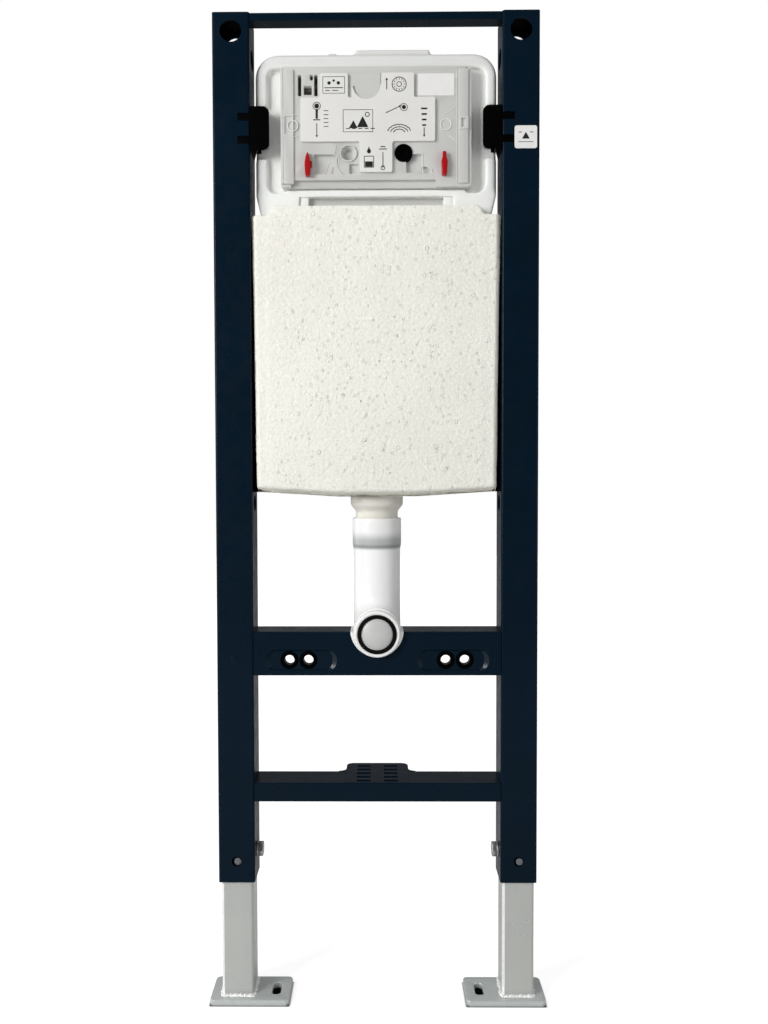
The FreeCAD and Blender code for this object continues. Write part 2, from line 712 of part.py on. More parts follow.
# Front of the tank: the recess of the panel, the gaps in its rim for the clamps, and the channel under it
recess_levels = ("tank_front - overshoot", "recess_floor")
front_cuts = [
    rounded_bar("tank_recess", "XZ_Plane", "recess_width", "recess_height", "tank_recess_corner", "recess_cut",
                ("center", "recess_floor", "recess_bottom + recess_height / 2")),
    block("tank_channel", astride("channel_half"), ("tank_front - overshoot", "channel_back"),
          ("jacket_top", "channel_top")),
]
front_adds = [
    block("tank_ledge", astride("recess_half - ledge_inset"), ("tank_front", "recess_floor + tank_wall / 2"),
          ("recess_bottom - tank_rim_bottom", "panel_bottom - ledge_gap")),
]
for side in sides:
    front_cuts.append(block(
        f"{side}_rim_gap", across(side, "recess_half - overshoot", "tank_half + overshoot"), recess_levels,
        ("clamp_bottom - clamp_tab_drop - clamp_clearance", "clamp_top + clamp_top_gap")))
    front_adds.append(block(
        f"{side}_channel_rib", across(side, "channel_half - rib_width", "channel_half"),
        ("tank_front + rib_set_back", "channel_back + tank_wall / 2"), ("jacket_top", "channel_top")))
tank_fronted = cut("tank_fronted", tank_outside, front_cuts)
tank_formed = fuse("tank_formed", [tank_fronted] + front_adds)

# Inside of the tank, its service window and its drain
throat_levels = ("jacket_top - tank_wall - overshoot", "tank_shoulder + tank_wall + overshoot")
head_inner_depth = ("recess_floor + tank_wall", "tank_back - tank_edge")
tank_space = fuse("tank_space", [
    block("tank_head_space", astride("tank_half - tank_edge"), head_inner_depth,
          ("tank_shoulder + tank_wall", "tank_top - tank_corner")),
    block("tank_crown_space", astride("tank_half - tank_corner"), head_inner_depth,
          ("tank_shoulder + tank_wall", "tank_top - tank_wall")),
    block("tank_throat_space", astride("tank_lower_half - tank_wall"),
          ("channel_back + tank_wall", "tank_lower_back - tank_wall"), throat_levels),
    block("tank_lower_space", astride("tank_lower_half - tank_wall"),
          ("tank_front + tank_wall", "tank_lower_back - tank_wall"),
          ("tank_bottom + tank_wall", "jacket_top - tank_wall")),
])
tank_window = block("tank_window", astride("panel_half - window_side_margin"),
                    ("tank_front - overshoot", "recess_floor + tank_wall + overshoot"),
                    ("panel_bottom + window_end_margin", "panel_top - window_end_margin"))
tank_drain = rod("tank_drain", "z", "neck_bore", "center", "flush_axis",
                 ("tank_bottom - overshoot", "tank_bottom + tank_wall + overshoot"))
keep(cut("tank_body", tank_formed, [tank_space, tank_window, tank_drain]))

# Foam jacket in two halves round the lower body of the tank
jacket_reach = ("front", "jacket_back")
jacket_block = tapered("jacket_block", "jacket_bottom_width", "jacket_top_width", jacket_reach,
                       ("jacket_bottom", "jacket_shoulder"))
jacket_taper = rounded(
    "jacket_taper", jacket_block, "jacket_corner",
    lambda edge: not runs_along(edge, "x") and not runs_along(edge, "y"))
jacket_belly = tapered("jacket_belly", "jacket_belly_width", "jacket_bottom_width - 2 * jacket_corner", jacket_reach,
                       ("jacket_base", "jacket_bottom"))
jacket_tab_block = block("jacket_tab_block", astride("jacket_tab_half"), jacket_reach,
                         ("jacket_shoulder - overshoot", "jacket_top"))
jacket_tab = rounded(
    "jacket_tab", jacket_tab_block, "jacket_tab_corner",
    lambda edge: runs_along(edge, "y") and at_level(edge, "z", number("jacket_top")))
jacket_outside = fuse("jacket_outside", [jacket_taper, jacket_belly, jacket_tab])
jacket_hollow = block("jacket_hollow", astride("tank_lower_half + jacket_clearance"),
                      ("tank_front - jacket_clearance", "tank_lower_back + jacket_clearance"),
                      ("tank_bottom - jacket_clearance", "jacket_top + overshoot"))
jacket_neck_hole = rod("jacket_neck_hole", "z", "neck_radius + neck_clearance", "center", "flush_axis",
                       ("jacket_base - overshoot", "tank_bottom + overshoot"))
whole_width = astride("jacket_top_width")
whole_height = ("jacket_base - overshoot", "jacket_top + overshoot")
behind = block("behind_split", whole_width, ("flush_axis", "jacket_back + overshoot"), whole_height)
before = block("before_split", whole_width, ("front - overshoot", "flush_axis"), whole_height)
keep(cut("insulation_front", jacket_outside, [jacket_hollow, jacket_neck_hole, behind]))
keep(cut("insulation_rear", jacket_outside, [jacket_hollow, jacket_neck_hole, before]))

# Tank clamps hooked into the posts, which lie in the gaps of the rim
clamp_levels = ("clamp_bottom", "clamp_top")
clamp_seat = "recess_floor - clamp_clearance"
for side in sides:
    pad_block = block(f"{side}_clamp_pad", across(side, "inner_face - clamp_width", "inner_face"),
                      ("front", clamp_seat), clamp_levels)
    pad_reach = number("inner_face") - number("clamp_width")
    inner_x = number("center") + (pad_reach if side == "right" else -pad_reach)
    pad = rounded(f"{side}_clamp_pad_rounded", pad_block, "clamp_corner",
                  lambda edge: runs_along(edge, "y") and at_level(edge, "x", inner_x))
    web = block(f"{side}_clamp_web", across(side, "tank_half + clamp_clearance", "inner_face"),
                ("front", "front + clamp_web_depth"), clamp_levels)
    tab = block(f"{side}_clamp_tab",
                across(side, "inner_face - clamp_tab_inset - clamp_tab_width", "inner_face - clamp_tab_inset"),
                ("front + clamp_tab_width", clamp_seat), ("clamp_bottom - clamp_tab_drop", "clamp_bottom + overshoot"))
    prongs = []
    for level in ("upper", "lower"):
        bottom = f"clamp_bottom + {level}_prong_rise"
        prongs.append(block(f"{side}_{level}_prong",
                            across(side, "inner_face - overshoot", "inner_face + prong_length"),
                            ("front", "front + prong_depth"), (bottom, f"{bottom} + prong_height")))
    keep(fuse(f"{side}_tank_clamp", [pad, web, tab] + prongs))

# Service panel over the tank's window
hole_level = "panel_bottom + panel_hole_rise"
panel_base = rounded_bar("panel_base", "XZ_Plane", "panel_width", "panel_height", "panel_corner", "panel_thickness",
                         ("center", "recess_floor", "panel_middle"))
panel_openings = []
for side in sides:
    panel_openings.append(rod(
        f"{side}_panel_hole", "y", "panel_hole_radius", f"center {outward[side]} panel_hole_offset",
        ("panel_front - overshoot", "recess_floor + overshoot"), hole_level))
    panel_openings.append(block(
        f"{side}_panel_pocket", across(side, "pocket_outer - panel_pocket_width", "pocket_outer"),
        ("panel_front - overshoot", "panel_front + panel_pocket_depth"),
        ("panel_bottom + panel_pocket_rise", "panel_bottom + panel_pocket_rise + panel_pocket_height")))
keep(cut("service_frame", panel_base, panel_openings))

guide_reach = ("guide_front", "panel_front")
tab_levels = ("guide_top - overshoot", "tab_top")
guide_slab = fuse("guide_slab", [
    block("guide_band", ("center - panel_half + guide_left_margin", "center + panel_half - guide_right_margin"),
          guide_reach, ("guide_bottom", "guide_top")),
    block("guide_left_tab", across("left", "left_tab_inner", "left_tab_outer"), guide_reach, tab_levels),
    block("guide_right_tab", across("right", "right_tab_inner", "right_tab_outer"), guide_reach, tab_levels),
    block("guide_lower_tab", astride("lower_tab_half_width"), guide_reach,
          ("guide_bottom - lower_tab_drop", "guide_bottom + overshoot")),
])
thumb_notch = rod("thumb_notch", "y", "thumb_notch_radius", "center - thumb_notch_offset",
                  ("guide_front - overshoot", "panel_front + overshoot"), "guide_top + thumb_notch_radius - overshoot")
keep(cut("guide_plate", guide_slab, [thumb_notch]))

for side in sides:
    keep(block(f"{side}_red_pin", across(side, "pin_offset - pin_width / 2", "pin_offset + pin_width / 2"),
               ("panel_front - pin_reach", "panel_front"),
               ("panel_bottom + pin_rise", "panel_bottom + pin_rise + pin_height")))
    keep(block(f"{side}_panel_strip",
               across(side, "panel_half - side_strip_margin - side_strip_width", "panel_half - side_strip_margin"),
               ("panel_front - side_strip_thickness", "panel_front"),
               ("panel_bottom + side_strip_margin", "panel_top - side_strip_margin")))

insert_reach = ("panel_front - ring_reach", "recess_floor")
ring_outside = rod("ring_outside", "y", "panel_hole_radius - insert_clearance",
                   "center - panel_hole_offset", insert_reach, hole_level)
ring_inside = rod("ring_inside", "y", "panel_hole_radius - insert_clearance - ring_wall", "center - panel_hole_offset",
                  ("panel_front - ring_reach - overshoot", "recess_floor + overshoot"), hole_level)
keep(cut("tube_ring", ring_outside, [ring_inside]))
keep(rod("tube_plug", "y", "panel_hole_radius - insert_clearance", "center + panel_hole_offset", insert_reach,
         hole_level))
keep(block("blank_label", across("right", "panel_half - label_margin - label_width", "panel_half - label_margin"),
           ("panel_front - label_thickness", "panel_front"), ("tab_top - label_height", "tab_top")))

# Flush neck below the tank
neck_cone = doc.addObject("Part::Cone", "neck_cone")
bind(neck_cone, "Radius1", "neck_spigot_radius")
bind(neck_cone, "Radius2", "neck_radius")
bind(neck_cone, "Height", "neck_cone_height")
put(neck_cone, "center", "flush_axis", "neck_cone_bottom")
neck_solid = fuse("neck_solid", [
    rod("neck_top", "z", "neck_radius", "center", "flush_axis", ("neck_cone_top", "tank_bottom")),
    rod("neck_spigot", "z", "neck_spigot_radius", "center", "flush_axis", ("neck_spigot_bottom", "neck_cone_top")),
    neck_cone,
])
neck_way = rod("neck_way", "z", "neck_bore", "center", "flush_axis",
               ("neck_spigot_bottom - overshoot", "tank_bottom + overshoot"))
keep(cut("flush_neck", neck_solid, [neck_way]))


# Flush bend: socket, straight pipe, quarter bend and outlet collar
def quarter_bend(name, radius):
    bend = doc.addObject("Part::Torus", name)
    facing = FreeCAD.Rotation(FreeCAD.Vector(0, 1, 0), FreeCAD.Vector(0, 0, -1), FreeCAD.Vector(-1, 0, 0), "XYZ")
    bend.Placement = FreeCAD.Placement(FreeCAD.Vector(), facing)
    bend.Angle3 = 90
    bind(bend, "Radius1", "bend_radius")
    bind(bend, "Radius2", radius)
    return put(bend, "center", "bend_center", "bend_top")


bend_outside = fuse("bend_outside", [
    rod("bend_socket", "z", "socket_radius", "center", "flush_axis", ("socket_bottom", "socket_top")),
    rod("bend_pipe", "z", "pipe_radius", "center", "flush_axis", ("bend_top", "socket_bottom + overshoot")),
    quarter_bend("bend_elbow", "pipe_radius"),
    rod("bend_run", "y", "run_radius", "center", ("collar_back - overshoot", "bend_center"), "outlet_height"),
    rod("bend_collar", "y", "collar_radius", "center", ("outlet_front", "collar_back"), "outlet_height"),
])
bend_inside = fuse("bend_inside", [
    rod("socket_way", "z", "socket_bore", "center", "flush_axis", ("seal_bottom", "socket_top + overshoot")),
    rod("pipe_way", "z", "pipe_bore", "center", "flush_axis", ("bend_top", "seal_bottom + overshoot")),
    quarter_bend("elbow_way", "pipe_bore"),
    rod("run_way", "y", "run_bore", "center", ("mouth_back", "bend_center + overshoot"), "outlet_height"),
    rod("mouth_way", "y", "mouth_radius", "center", ("outlet_front - overshoot", "mouth_back + overshoot"),
        "outlet_height"),
])
keep(cut("flush_bend", bend_outside, [bend_inside]))

seal_ring = rod("seal_ring", "z", "socket_bore - seal_clearance", "center", "flush_axis",
                ("seal_bottom", "seal_bottom + seal_height"))
seal_way = rod("seal_way", "z", "neck_spigot_radius + seal_clearance", "center", "flush_axis",
               ("seal_bottom - overshoot", "seal_bottom + seal_height + overshoot"))
keep(cut("socket_seal", seal_ring, [seal_way]))

outlet_ring = rod("outlet_ring", "y", "mouth_radius - seal_clearance", "center",
                  ("outlet_front - outlet_seal_reach", "mouth_back"), "outlet_height")
outlet_way = rod("outlet_way", "y", "outlet_seal_bore", "center",
                 ("outlet_front - outlet_seal_reach - overshoot", "mouth_back + overshoot"), "outlet_height")
keep(cut("outlet_seal", outlet_ring, [outlet_way]))
keep(rod("outlet_plug", "y", "outlet_seal_bore - seal_clearance", "center",
         ("outlet_front + plug_recess", "outlet_front + plug_recess + plug_thickness"), "outlet_height"))

# Saddle between the flush bend and the notch in the beam: a ring in front and two cheeks beside the elbow
saddle_ring = rod("saddle_ring", "y", "notch_radius - saddle_clearance", "center",
                  ("front - saddle_reach", "back"), "notch_height")
elbow_space = ("bend_center - saddle_pipe_gap", "back + overshoot")
saddle_cuts = [
    rod("saddle_way", "y", "saddle_bore", "center",
        ("front - saddle_reach - overshoot", "back + overshoot"), "outlet_height"),
    rod("saddle_elbow_way", "y", "pipe_radius + saddle_pipe_gap", "center", elbow_space, "outlet_height"),
    block("saddle_under_elbow", astride("notch_radius"), elbow_space,
          ("outlet_height - 2 * notch_radius", "outlet_height - saddle_cheek_drop")),
    block("saddle_trim", astride("2 * notch_radius"), ("front - saddle_reach - overshoot", "back + overshoot"),
          ("beam_top", "beam_top + 2 * notch_radius")),
]
keep(cut("outlet_saddle", saddle_ring, saddle_cuts))

# Level sticker on the right post
keep(rounded_bar("level_sticker", "XZ_Plane", "sticker_size", "sticker_size", "sticker_corner", "sticker_thickness",
                 ("post_spacing + sticker_offset", "front", "post_top - sticker_drop")))

doc.recompute()

# Every object has to be sound before anything is written
for item in doc.Objects:
    if "Invalid" in item.State or "Error" in item.State:
        raise RuntimeError(f"{item.Label} failed: {item.State}")
for node in nodes:
    if node.Shape.isNull() or not node.Shape.isValid():
        raise RuntimeError(f"{node.Label} has no valid shape")
    if len(node.Shape.Solids) != 1:
        raise RuntimeError(f"{node.Label} has {len(node.Shape.Solids)} solids")

os.makedirs("parts", exist_ok=True)
for node in nodes:
    node.Shape.exportStep(f"parts/{node.Label}.step")
print(f"{len(nodes)} sub-parts written")
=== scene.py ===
import bpy
import json
import math
import random
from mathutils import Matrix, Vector


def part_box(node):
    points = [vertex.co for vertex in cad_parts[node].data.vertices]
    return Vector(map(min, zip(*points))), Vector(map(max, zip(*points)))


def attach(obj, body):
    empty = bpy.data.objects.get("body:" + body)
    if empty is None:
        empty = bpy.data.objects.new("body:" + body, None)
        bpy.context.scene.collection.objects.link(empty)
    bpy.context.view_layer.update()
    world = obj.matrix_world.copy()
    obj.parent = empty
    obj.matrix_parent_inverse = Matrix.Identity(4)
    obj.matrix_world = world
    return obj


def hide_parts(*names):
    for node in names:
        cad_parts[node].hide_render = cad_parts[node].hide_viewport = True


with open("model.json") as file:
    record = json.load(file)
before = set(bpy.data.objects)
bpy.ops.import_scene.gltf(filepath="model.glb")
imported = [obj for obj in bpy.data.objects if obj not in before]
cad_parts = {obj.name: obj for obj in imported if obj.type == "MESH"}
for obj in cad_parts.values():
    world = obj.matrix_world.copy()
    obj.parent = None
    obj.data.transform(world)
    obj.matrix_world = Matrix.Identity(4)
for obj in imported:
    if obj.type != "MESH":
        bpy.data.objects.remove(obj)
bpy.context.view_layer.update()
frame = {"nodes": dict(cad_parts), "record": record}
nodes = frame["nodes"]
mm = 0.001
mergeReach = 0.00001
sides = ("left", "right")
centerX = (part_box("left_post")[0].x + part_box("right_post")[1].x) / 2
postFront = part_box("left_post")[0].y
quarterTurn = math.radians(90)
straightOn = 0.9
fineCount = 64
wideAngle = 60
turns = {"x": (0, quarterTurn, 0), "y": (quarterTurn, 0, 0)}
print("frame loaded with", len(nodes), "nodes")


# tools for modelling by operators
def leaveEdit():
    bpy.ops.object.mode_set(mode="OBJECT")


def clearSelection():
    if bpy.context.object and bpy.context.object.mode != "OBJECT":
        leaveEdit()
    bpy.ops.object.select_all(action="DESELECT")


def takeUp(piece):  # the piece alone is selected and active
    clearSelection()
    piece.select_set(True)
    bpy.context.view_layer.objects.active = piece


def startEdit(piece, action="SELECT"):
    takeUp(piece)
    bpy.ops.object.mode_set(mode="EDIT")
    bpy.ops.mesh.select_all(action=action)


def applyPlace(piece):
    takeUp(piece)
    bpy.ops.object.transform_apply(location=True, rotation=True, scale=True)


def applyModifier(piece, kind, **settings):
    takeUp(piece)
    modifier = piece.modifiers.new(kind.lower(), kind)
    for name, value in settings.items():
        setattr(modifier, name, value)
    bpy.ops.object.modifier_apply(modifier=modifier.name)


def settle(name, scale=(1, 1, 1)):  # names the new piece and applies its place
    piece = bpy.context.object
    piece.name = name
    piece.scale = scale
    applyPlace(piece)
    return piece


def addBlock(name, low, high):
    clearSelection()
    bpy.ops.mesh.primitive_cube_add(size=1, location=[(a + b) / 2 for a, b in zip(low, high)])
    return settle(name, [b - a for a, b in zip(low, high)])


def addRod(name, along, radius, low, high, count=48):  # low and high are the middles of the two ends
    clearSelection()
    low, high = Vector(low), Vector(high)
    bpy.ops.mesh.primitive_cylinder_add(vertices=count, radius=radius, depth=(high - low).length,
                                        location=(low + high) / 2, rotation=turns[along])
    return settle(name)


def addRing(name, radius, thickness, place, flatten=1.0, count=48):  # it lies in an upright plane
    clearSelection()
    bpy.ops.mesh.primitive_torus_add(major_radius=radius, minor_radius=thickness / 2, major_segments=count,
                                     minor_segments=10, location=place, rotation=turns["y"])
    return settle(name, (1, 1, flatten))


def addBall(radius, place, subdivisions=2):
    clearSelection()
    bpy.ops.mesh.primitive_ico_sphere_add(subdivisions=subdivisions, radius=radius, location=place)
    return bpy.context.object


def pickFaces(piece, test):  # leaves the piece in edit mode with those faces selected
    startEdit(piece, "DESELECT")
    bpy.ops.mesh.select_mode(type="FACE")
    leaveEdit()
    for face in piece.data.polygons:
        face.select = test(face.normal)
    bpy.ops.object.mode_set(mode="EDIT")


def bevelEdges(piece, test, width, segments):  # the test gets the two ends of an edge
    startEdit(piece, "DESELECT")
    bpy.ops.mesh.select_mode(type="EDGE")
    leaveEdit()
    points = piece.data.vertices
    for edge in piece.data.edges:
        edge.select = test(points[edge.vertices[0]].co, points[edge.vertices[1]].co)
    bpy.ops.object.mode_set(mode="EDIT")
    bpy.ops.mesh.bevel(offset=width, segments=segments)
    leaveEdit()


def splitAt(piece, height, **settings):  # a level cut through the whole piece
    startEdit(piece)
    bpy.ops.mesh.bisect(plane_co=(0, 0, height), plane_no=(0, 0, 1), **settings)
    leaveEdit()


def keepPart(piece, height, upper):
    splitAt(piece, height, use_fill=True, clear_inner=upper, clear_outer=not upper)


def softenEdges(piece, width, segments=2, angle=40):
    applyModifier(piece, "BEVEL", width=width, segments=segments, limit_method="ANGLE",
                  angle_limit=math.radians(angle), harden_normals=False)


def shadeSmooth(piece, angle=40):
    takeUp(piece)
    bpy.ops.object.shade_smooth_by_angle(angle=math.radians(angle))


def shadeRound(piece):  # smooth all over
    takeUp(piece)
    bpy.ops.object.shade_smooth()


def roundOff(piece, width, segments=2, angle=50):
    softenEdges(piece, width, segments, angle)
    shadeSmooth(piece)


def useTools(piece, operation, tools):
    for tool in tools:
        applyModifier(piece, "BOOLEAN", operation=operation, solver="EXACT", object=tool)
        bpy.data.objects.remove(tool)


def cutAway(piece, *tools):
    useTools(piece, "DIFFERENCE", tools)


def addOn(piece, *others):
    useTools(piece, "UNION", others)


def joinAll(name, pieces):
    clearSelection()
    for piece in pieces:
        piece.select_set(True)
    bpy.context.view_layer.objects.active = pieces[0]
    bpy.ops.object.join()
    pieces[0].name = name
    return pieces[0]


def copyNode(node, name):  # a merged copy of a frame node, free of its body
    piece = nodes[node].copy()
    piece.data = nodes[node].data.copy()
    bpy.context.scene.collection.objects.link(piece)
    piece.name = name
    piece.parent = None
    for key in list(piece.keys()):
        del piece[key]
    startEdit(piece)
    bpy.ops.mesh.remove_doubles(threshold=mergeReach)
    bpy.ops.mesh.customdata_custom_splitnormals_clear()
    bpy.ops.mesh.dissolve_limited(angle_limit=math.radians(0.5))
    leaveEdit()
    return piece


def paintFaces(piece, material, test):  # a second finish on the faces whose normals pass the test
    piece.data.materials.append(material)
    for face in piece.data.polygons:
        if test(face.normal):
            face.material_index = 1


def finishPiece(piece, slot, *replaced, body="frame", material=None):  # the slot's own finish by default
    piece.data.materials.clear()
    piece.data.materials.append(material or slotFinish[slot])
    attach(piece, body)
    if replaced:
        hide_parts(*replaced)


def innerFace(side):  # the way inward from a post, and where its inner face lies
    low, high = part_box(f"{side}_post")
    return (1, high.x) if side == "left" else (-1, low.x)


# tools for finishes, whose owner is a material or the world
def screenColor(color):  # screen values from 0 to 255, made linear
    return [*(((value / 255 + 0.055) / 1.055) ** 2.4 for value in color), 1]


def shaderOf(material):
    return material.node_tree.nodes["Principled BSDF"]


def startFinish(name, color, roughness, **more):
    material = bpy.data.materials.new(name)
    material.use_nodes = True
    entries = shaderOf(material).inputs
    entries["Base Color"].default_value = screenColor(color)
    entries["Roughness"].default_value = roughness
    for words, value in more.items():
        entries[words.replace("_", " ")].default_value = value
    return material


def addNode(owner, kind, **values):
    node = owner.node_tree.nodes.new(kind)
    for name, value in values.items():
        setattr(node, name, value)
    return node


def link(owner, output, entry):
    owner.node_tree.links.new(output, entry)


def feed(owner, value, entry):  # a number is set, an output is linked
    if isinstance(value, float):
        entry.default_value = value
    else:
        link(owner, value, entry)


def objectPoint(material, stretch=(1, 1, 1)):
    coordinates = addNode(material, "ShaderNodeTexCoord")
    mapping = addNode(material, "ShaderNodeMapping")
    mapping.inputs["Scale"].default_value = stretch
    link(material, coordinates.outputs["Object"], mapping.inputs["Vector"])
    return mapping.outputs["Vector"]


def noiseOf(material, scale, detail=3.0, stretch=(1, 1, 1)):
    noise = addNode(material, "ShaderNodeTexNoise")
    noise.inputs["Scale"].default_value = scale
    noise.inputs["Detail"].default_value = detail
    link(material, objectPoint(material, stretch), noise.inputs["Vector"])
    return noise.outputs["Fac"]


def cellsOf(material, scale, feature="F1", output="Distance"):
    cells = addNode(material, "ShaderNodeTexVoronoi", feature=feature)
    cells.inputs["Scale"].default_value = scale
    link(material, objectPoint(material), cells.inputs["Vector"])
    return cells.outputs[output]


def spread(owner, value, low, high, outLow=0.0, outHigh=1.0, ease="SMOOTHSTEP"):
    ranger = addNode(owner, "ShaderNodeMapRange", interpolation_type=ease)
    for name, number in (("From Min", low), ("From Max", high), ("To Min", outLow), ("To Max", outHigh)):
        ranger.inputs[name].default_value = number
    link(owner, value, ranger.inputs["Value"])
    return ranger.outputs["Result"]


def product(material, first, second):
    node = addNode(material, "ShaderNodeMath", operation="MULTIPLY")
    feed(material, first, node.inputs[0])
    feed(material, second, node.inputs[1])
    return node.outputs["Value"]


def bandOf(material, value, riseLow, riseHigh, fallLow, fallHigh):  # rises to one and falls again
    return product(material, spread(material, value, riseLow, riseHigh),
                   spread(material, value, fallLow, fallHigh, 1.0, 0.0))


def axisOf(owner, vector, axis):
    splitter = addNode(owner, "ShaderNodeSeparateXYZ")
    link(owner, vector, splitter.inputs["Vector"])
    return splitter.outputs[axis]


def tint(material, amount, color):  # mixes a second colour over what the shader has
    entry = shaderOf(material).inputs["Base Color"]
    mixer = addNode(material, "ShaderNodeMix", data_type="RGBA")
    if entry.is_linked:
        link(material, entry.links[0].from_socket, mixer.inputs["A"])
    else:
        mixer.inputs["A"].default_value = entry.default_value
    mixer.inputs["B"].default_value = screenColor(color)
    link(material, amount, mixer.inputs["Factor"])
    link(material, mixer.outputs["Result"], entry)


def bumpBy(material, height, strength, distance):
    entry = shaderOf(material).inputs["Normal"]
    bump = addNode(material, "ShaderNodeBump")
    bump.inputs["Strength"].default_value = strength
    bump.inputs["Distance"].default_value = distance
    if entry.is_linked:
        link(material, entry.links[0].from_socket, bump.inputs["Normal"])
    link(material, height, bump.inputs["Height"])
    link(material, bump.outputs["Normal"], entry)


def addClouds(material, scale, low, high, amount, color, detail=3.0, stretch=(1, 1, 1)):
    noise = noiseOf(material, scale, detail, stretch)
    tint(material, spread(material, noise, low, high, 0.0, amount), color)


def addGrain(material, scale, strength, distance, detail=2.0):
    bumpBy(material, noiseOf(material, scale, detail), strength, distance)


def varyRoughness(material, scale, least, most):
    amount = spread(material, noiseOf(material, scale), 0.3, 0.7, least, most)
    link(material, amount, shaderOf(material).inputs["Roughness"])


def makePlain(name, color, roughness, clouds, grain=None, **more):
    material = startFinish(name, color, roughness, **more)
    addClouds(material, *clouds)
    if grain:
        addGrain(material, *grain)
    return material


# finishes: clouds are scale, low, high, amount, colour and detail
# grain is scale, strength, distance and detail
def makeNavyPaint(name, gloss):  # satin powder coat with a fine orange peel
    paint = makePlain(name, (4, 22, 35), 0.28, (14, 0.35, 0.7, 0.4, (7, 26, 40)), (1400, 0.12, 0.0004),
                      Specular_IOR_Level=gloss)
    varyRoughness(paint, 60, 0.24, 0.34)
    return paint


def makeBrightZinc(name, color, darker, roughness, metallic):
    return makePlain(name, color, roughness, (260, 0.35, 0.7, 0.6, darker), (700, 0.12, 0.0005, 3),
                     Metallic=metallic)


def makeMilky(name, color, roughness, clouds, grain, weight, radius):
    return makePlain(name, color, roughness, clouds, grain, Subsurface_Weight=weight,
                     Subsurface_Radius=radius, Subsurface_Scale=1.0)


def makeRubber(name, color, lighter):
    return makePlain(name, color, 0.5, (120, 0.4, 0.7, 0.5, lighter), (1400, 0.1, 0.0003),
                     Specular_IOR_Level=0.12)


navyPaint = makeNavyPaint("navyPaint", 0.09)
# painted sheen: a glossier copy of the paint for the pressed ends that face the key lamp
keyLampSheenPaint = makeNavyPaint("keyLampSheenPaint", 0.3)
boltZinc = makeBrightZinc("boltZinc", (205, 206, 203), (165, 165, 160), 0.3, 0.85)
# bright zinc of the weld beads, also a painted highlight on the leg corners that face the key lamp
weldAndHighlightZinc = makeBrightZinc("weldAndHighlightZinc", (248, 248, 246), (226, 227, 226), 0.22, 0.15)
plateZinc = makeBrightZinc("plateZinc", (212, 217, 216), (203, 208, 207), 0.3, 0.4)
# painted shade: the leg's zinc darkened as it looks inside the sight holes
shadedLegGrey = makeBrightZinc("shadedLegGrey", (112, 114, 118), (96, 98, 102), 0.4, 0.2)
greyRubber = makeRubber("greyRubber", (112, 116, 120), (126, 130, 134))
blackRubber = makeRubber("blackRubber", (3, 3, 3), (7, 7, 7))
blackPlastic = makePlain("blackPlastic", (1, 1, 1), 0.5, (70, 0.4, 0.7, 0.5, (3, 3, 4)), (1800, 0.15, 0.0003),
                         Specular_IOR_Level=0.015)
guidePlastic = makePlain("guidePlastic", (223, 222, 218), 0.4, (30, 0.35, 0.7, 0.5, (217, 216, 212)),
                         (1500, 0.06, 0.0003))
redPlastic = makePlain("redPlastic", (166, 3, 9), 0.3, (150, 0.4, 0.7, 0.4, (150, 5, 10)),
                       (900, 0.08, 0.0003))
# the neck's own creamy tone, darkened further as painted shade from the foam jacket
neckPlasticShaded = makeMilky("neckPlasticShaded", (228, 225, 216), 0.34, (35, 0.35, 0.7, 0.5, (214, 210, 199)),
                        (200, 0.05, 0.001), 0.1, (0.003, 0.003, 0.0025))
labelPaper = makePlain("labelPaper", (229, 228, 226), 0.55, (90, 0.35, 0.7, 0.5, (224, 223, 221), 4),
                       (1200, 0.05, 0.0002, 3))
printInk = makePlain("printInk", (22, 22, 22), 0.6, (500, 0.4, 0.7, 0.5, (44, 44, 44), 2),
                     Specular_IOR_Level=0.3)
# painted shade: the dark of the window pockets
shadeGap = makePlain("shadeGap", (40, 36, 32), 0.7, (130, 0.4, 0.65, 0.8, (92, 88, 82), 2))
panelPlastic = makePlain("panelPlastic", (198, 198, 195), 0.42, (24, 0.35, 0.7, 0.5, (191, 191, 188)),
                         (1500, 0.06, 0.0003))
varyRoughness(panelPlastic, 120, 0.36, 0.5)

# zinc with faint clouds and drawn streaks
galvanised = makePlain("galvanisedSteel", (205, 207, 203), 0.24, (14, 0.3, 0.75, 0.5, (190, 193, 191), 2),
                       (36, 0.05, 0.0004), Metallic=0.45)
addClouds(galvanised, 120, 0.45, 0.7, 0.25, (212, 211, 206), 2, (1.2, 1.2, 0.06))
varyRoughness(galvanised, 30, 0.2, 0.28)

# blown polyethylene, milky and slightly uneven; the grey along its top is painted shade
tankPlastic = makeMilky("tankPlastic", (240, 241, 238), 0.36, (16, 0.35, 0.7, 0.5, (233, 235, 231)),
                        (220, 0.06, 0.0012), 0.12, (0.004, 0.004, 0.0035))
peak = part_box("tank_body")[1].z
paintedShadeFrom, paintedShadeTo = peak - 32 * mm, peak - 18 * mm
height = axisOf(tankPlastic, objectPoint(tankPlastic), "Z")
tint(tankPlastic, spread(tankPlastic, height, paintedShadeFrom, paintedShadeTo, 0.0, 0.6), (213, 214, 211))
varyRoughness(tankPlastic, 45, 0.3, 0.44)
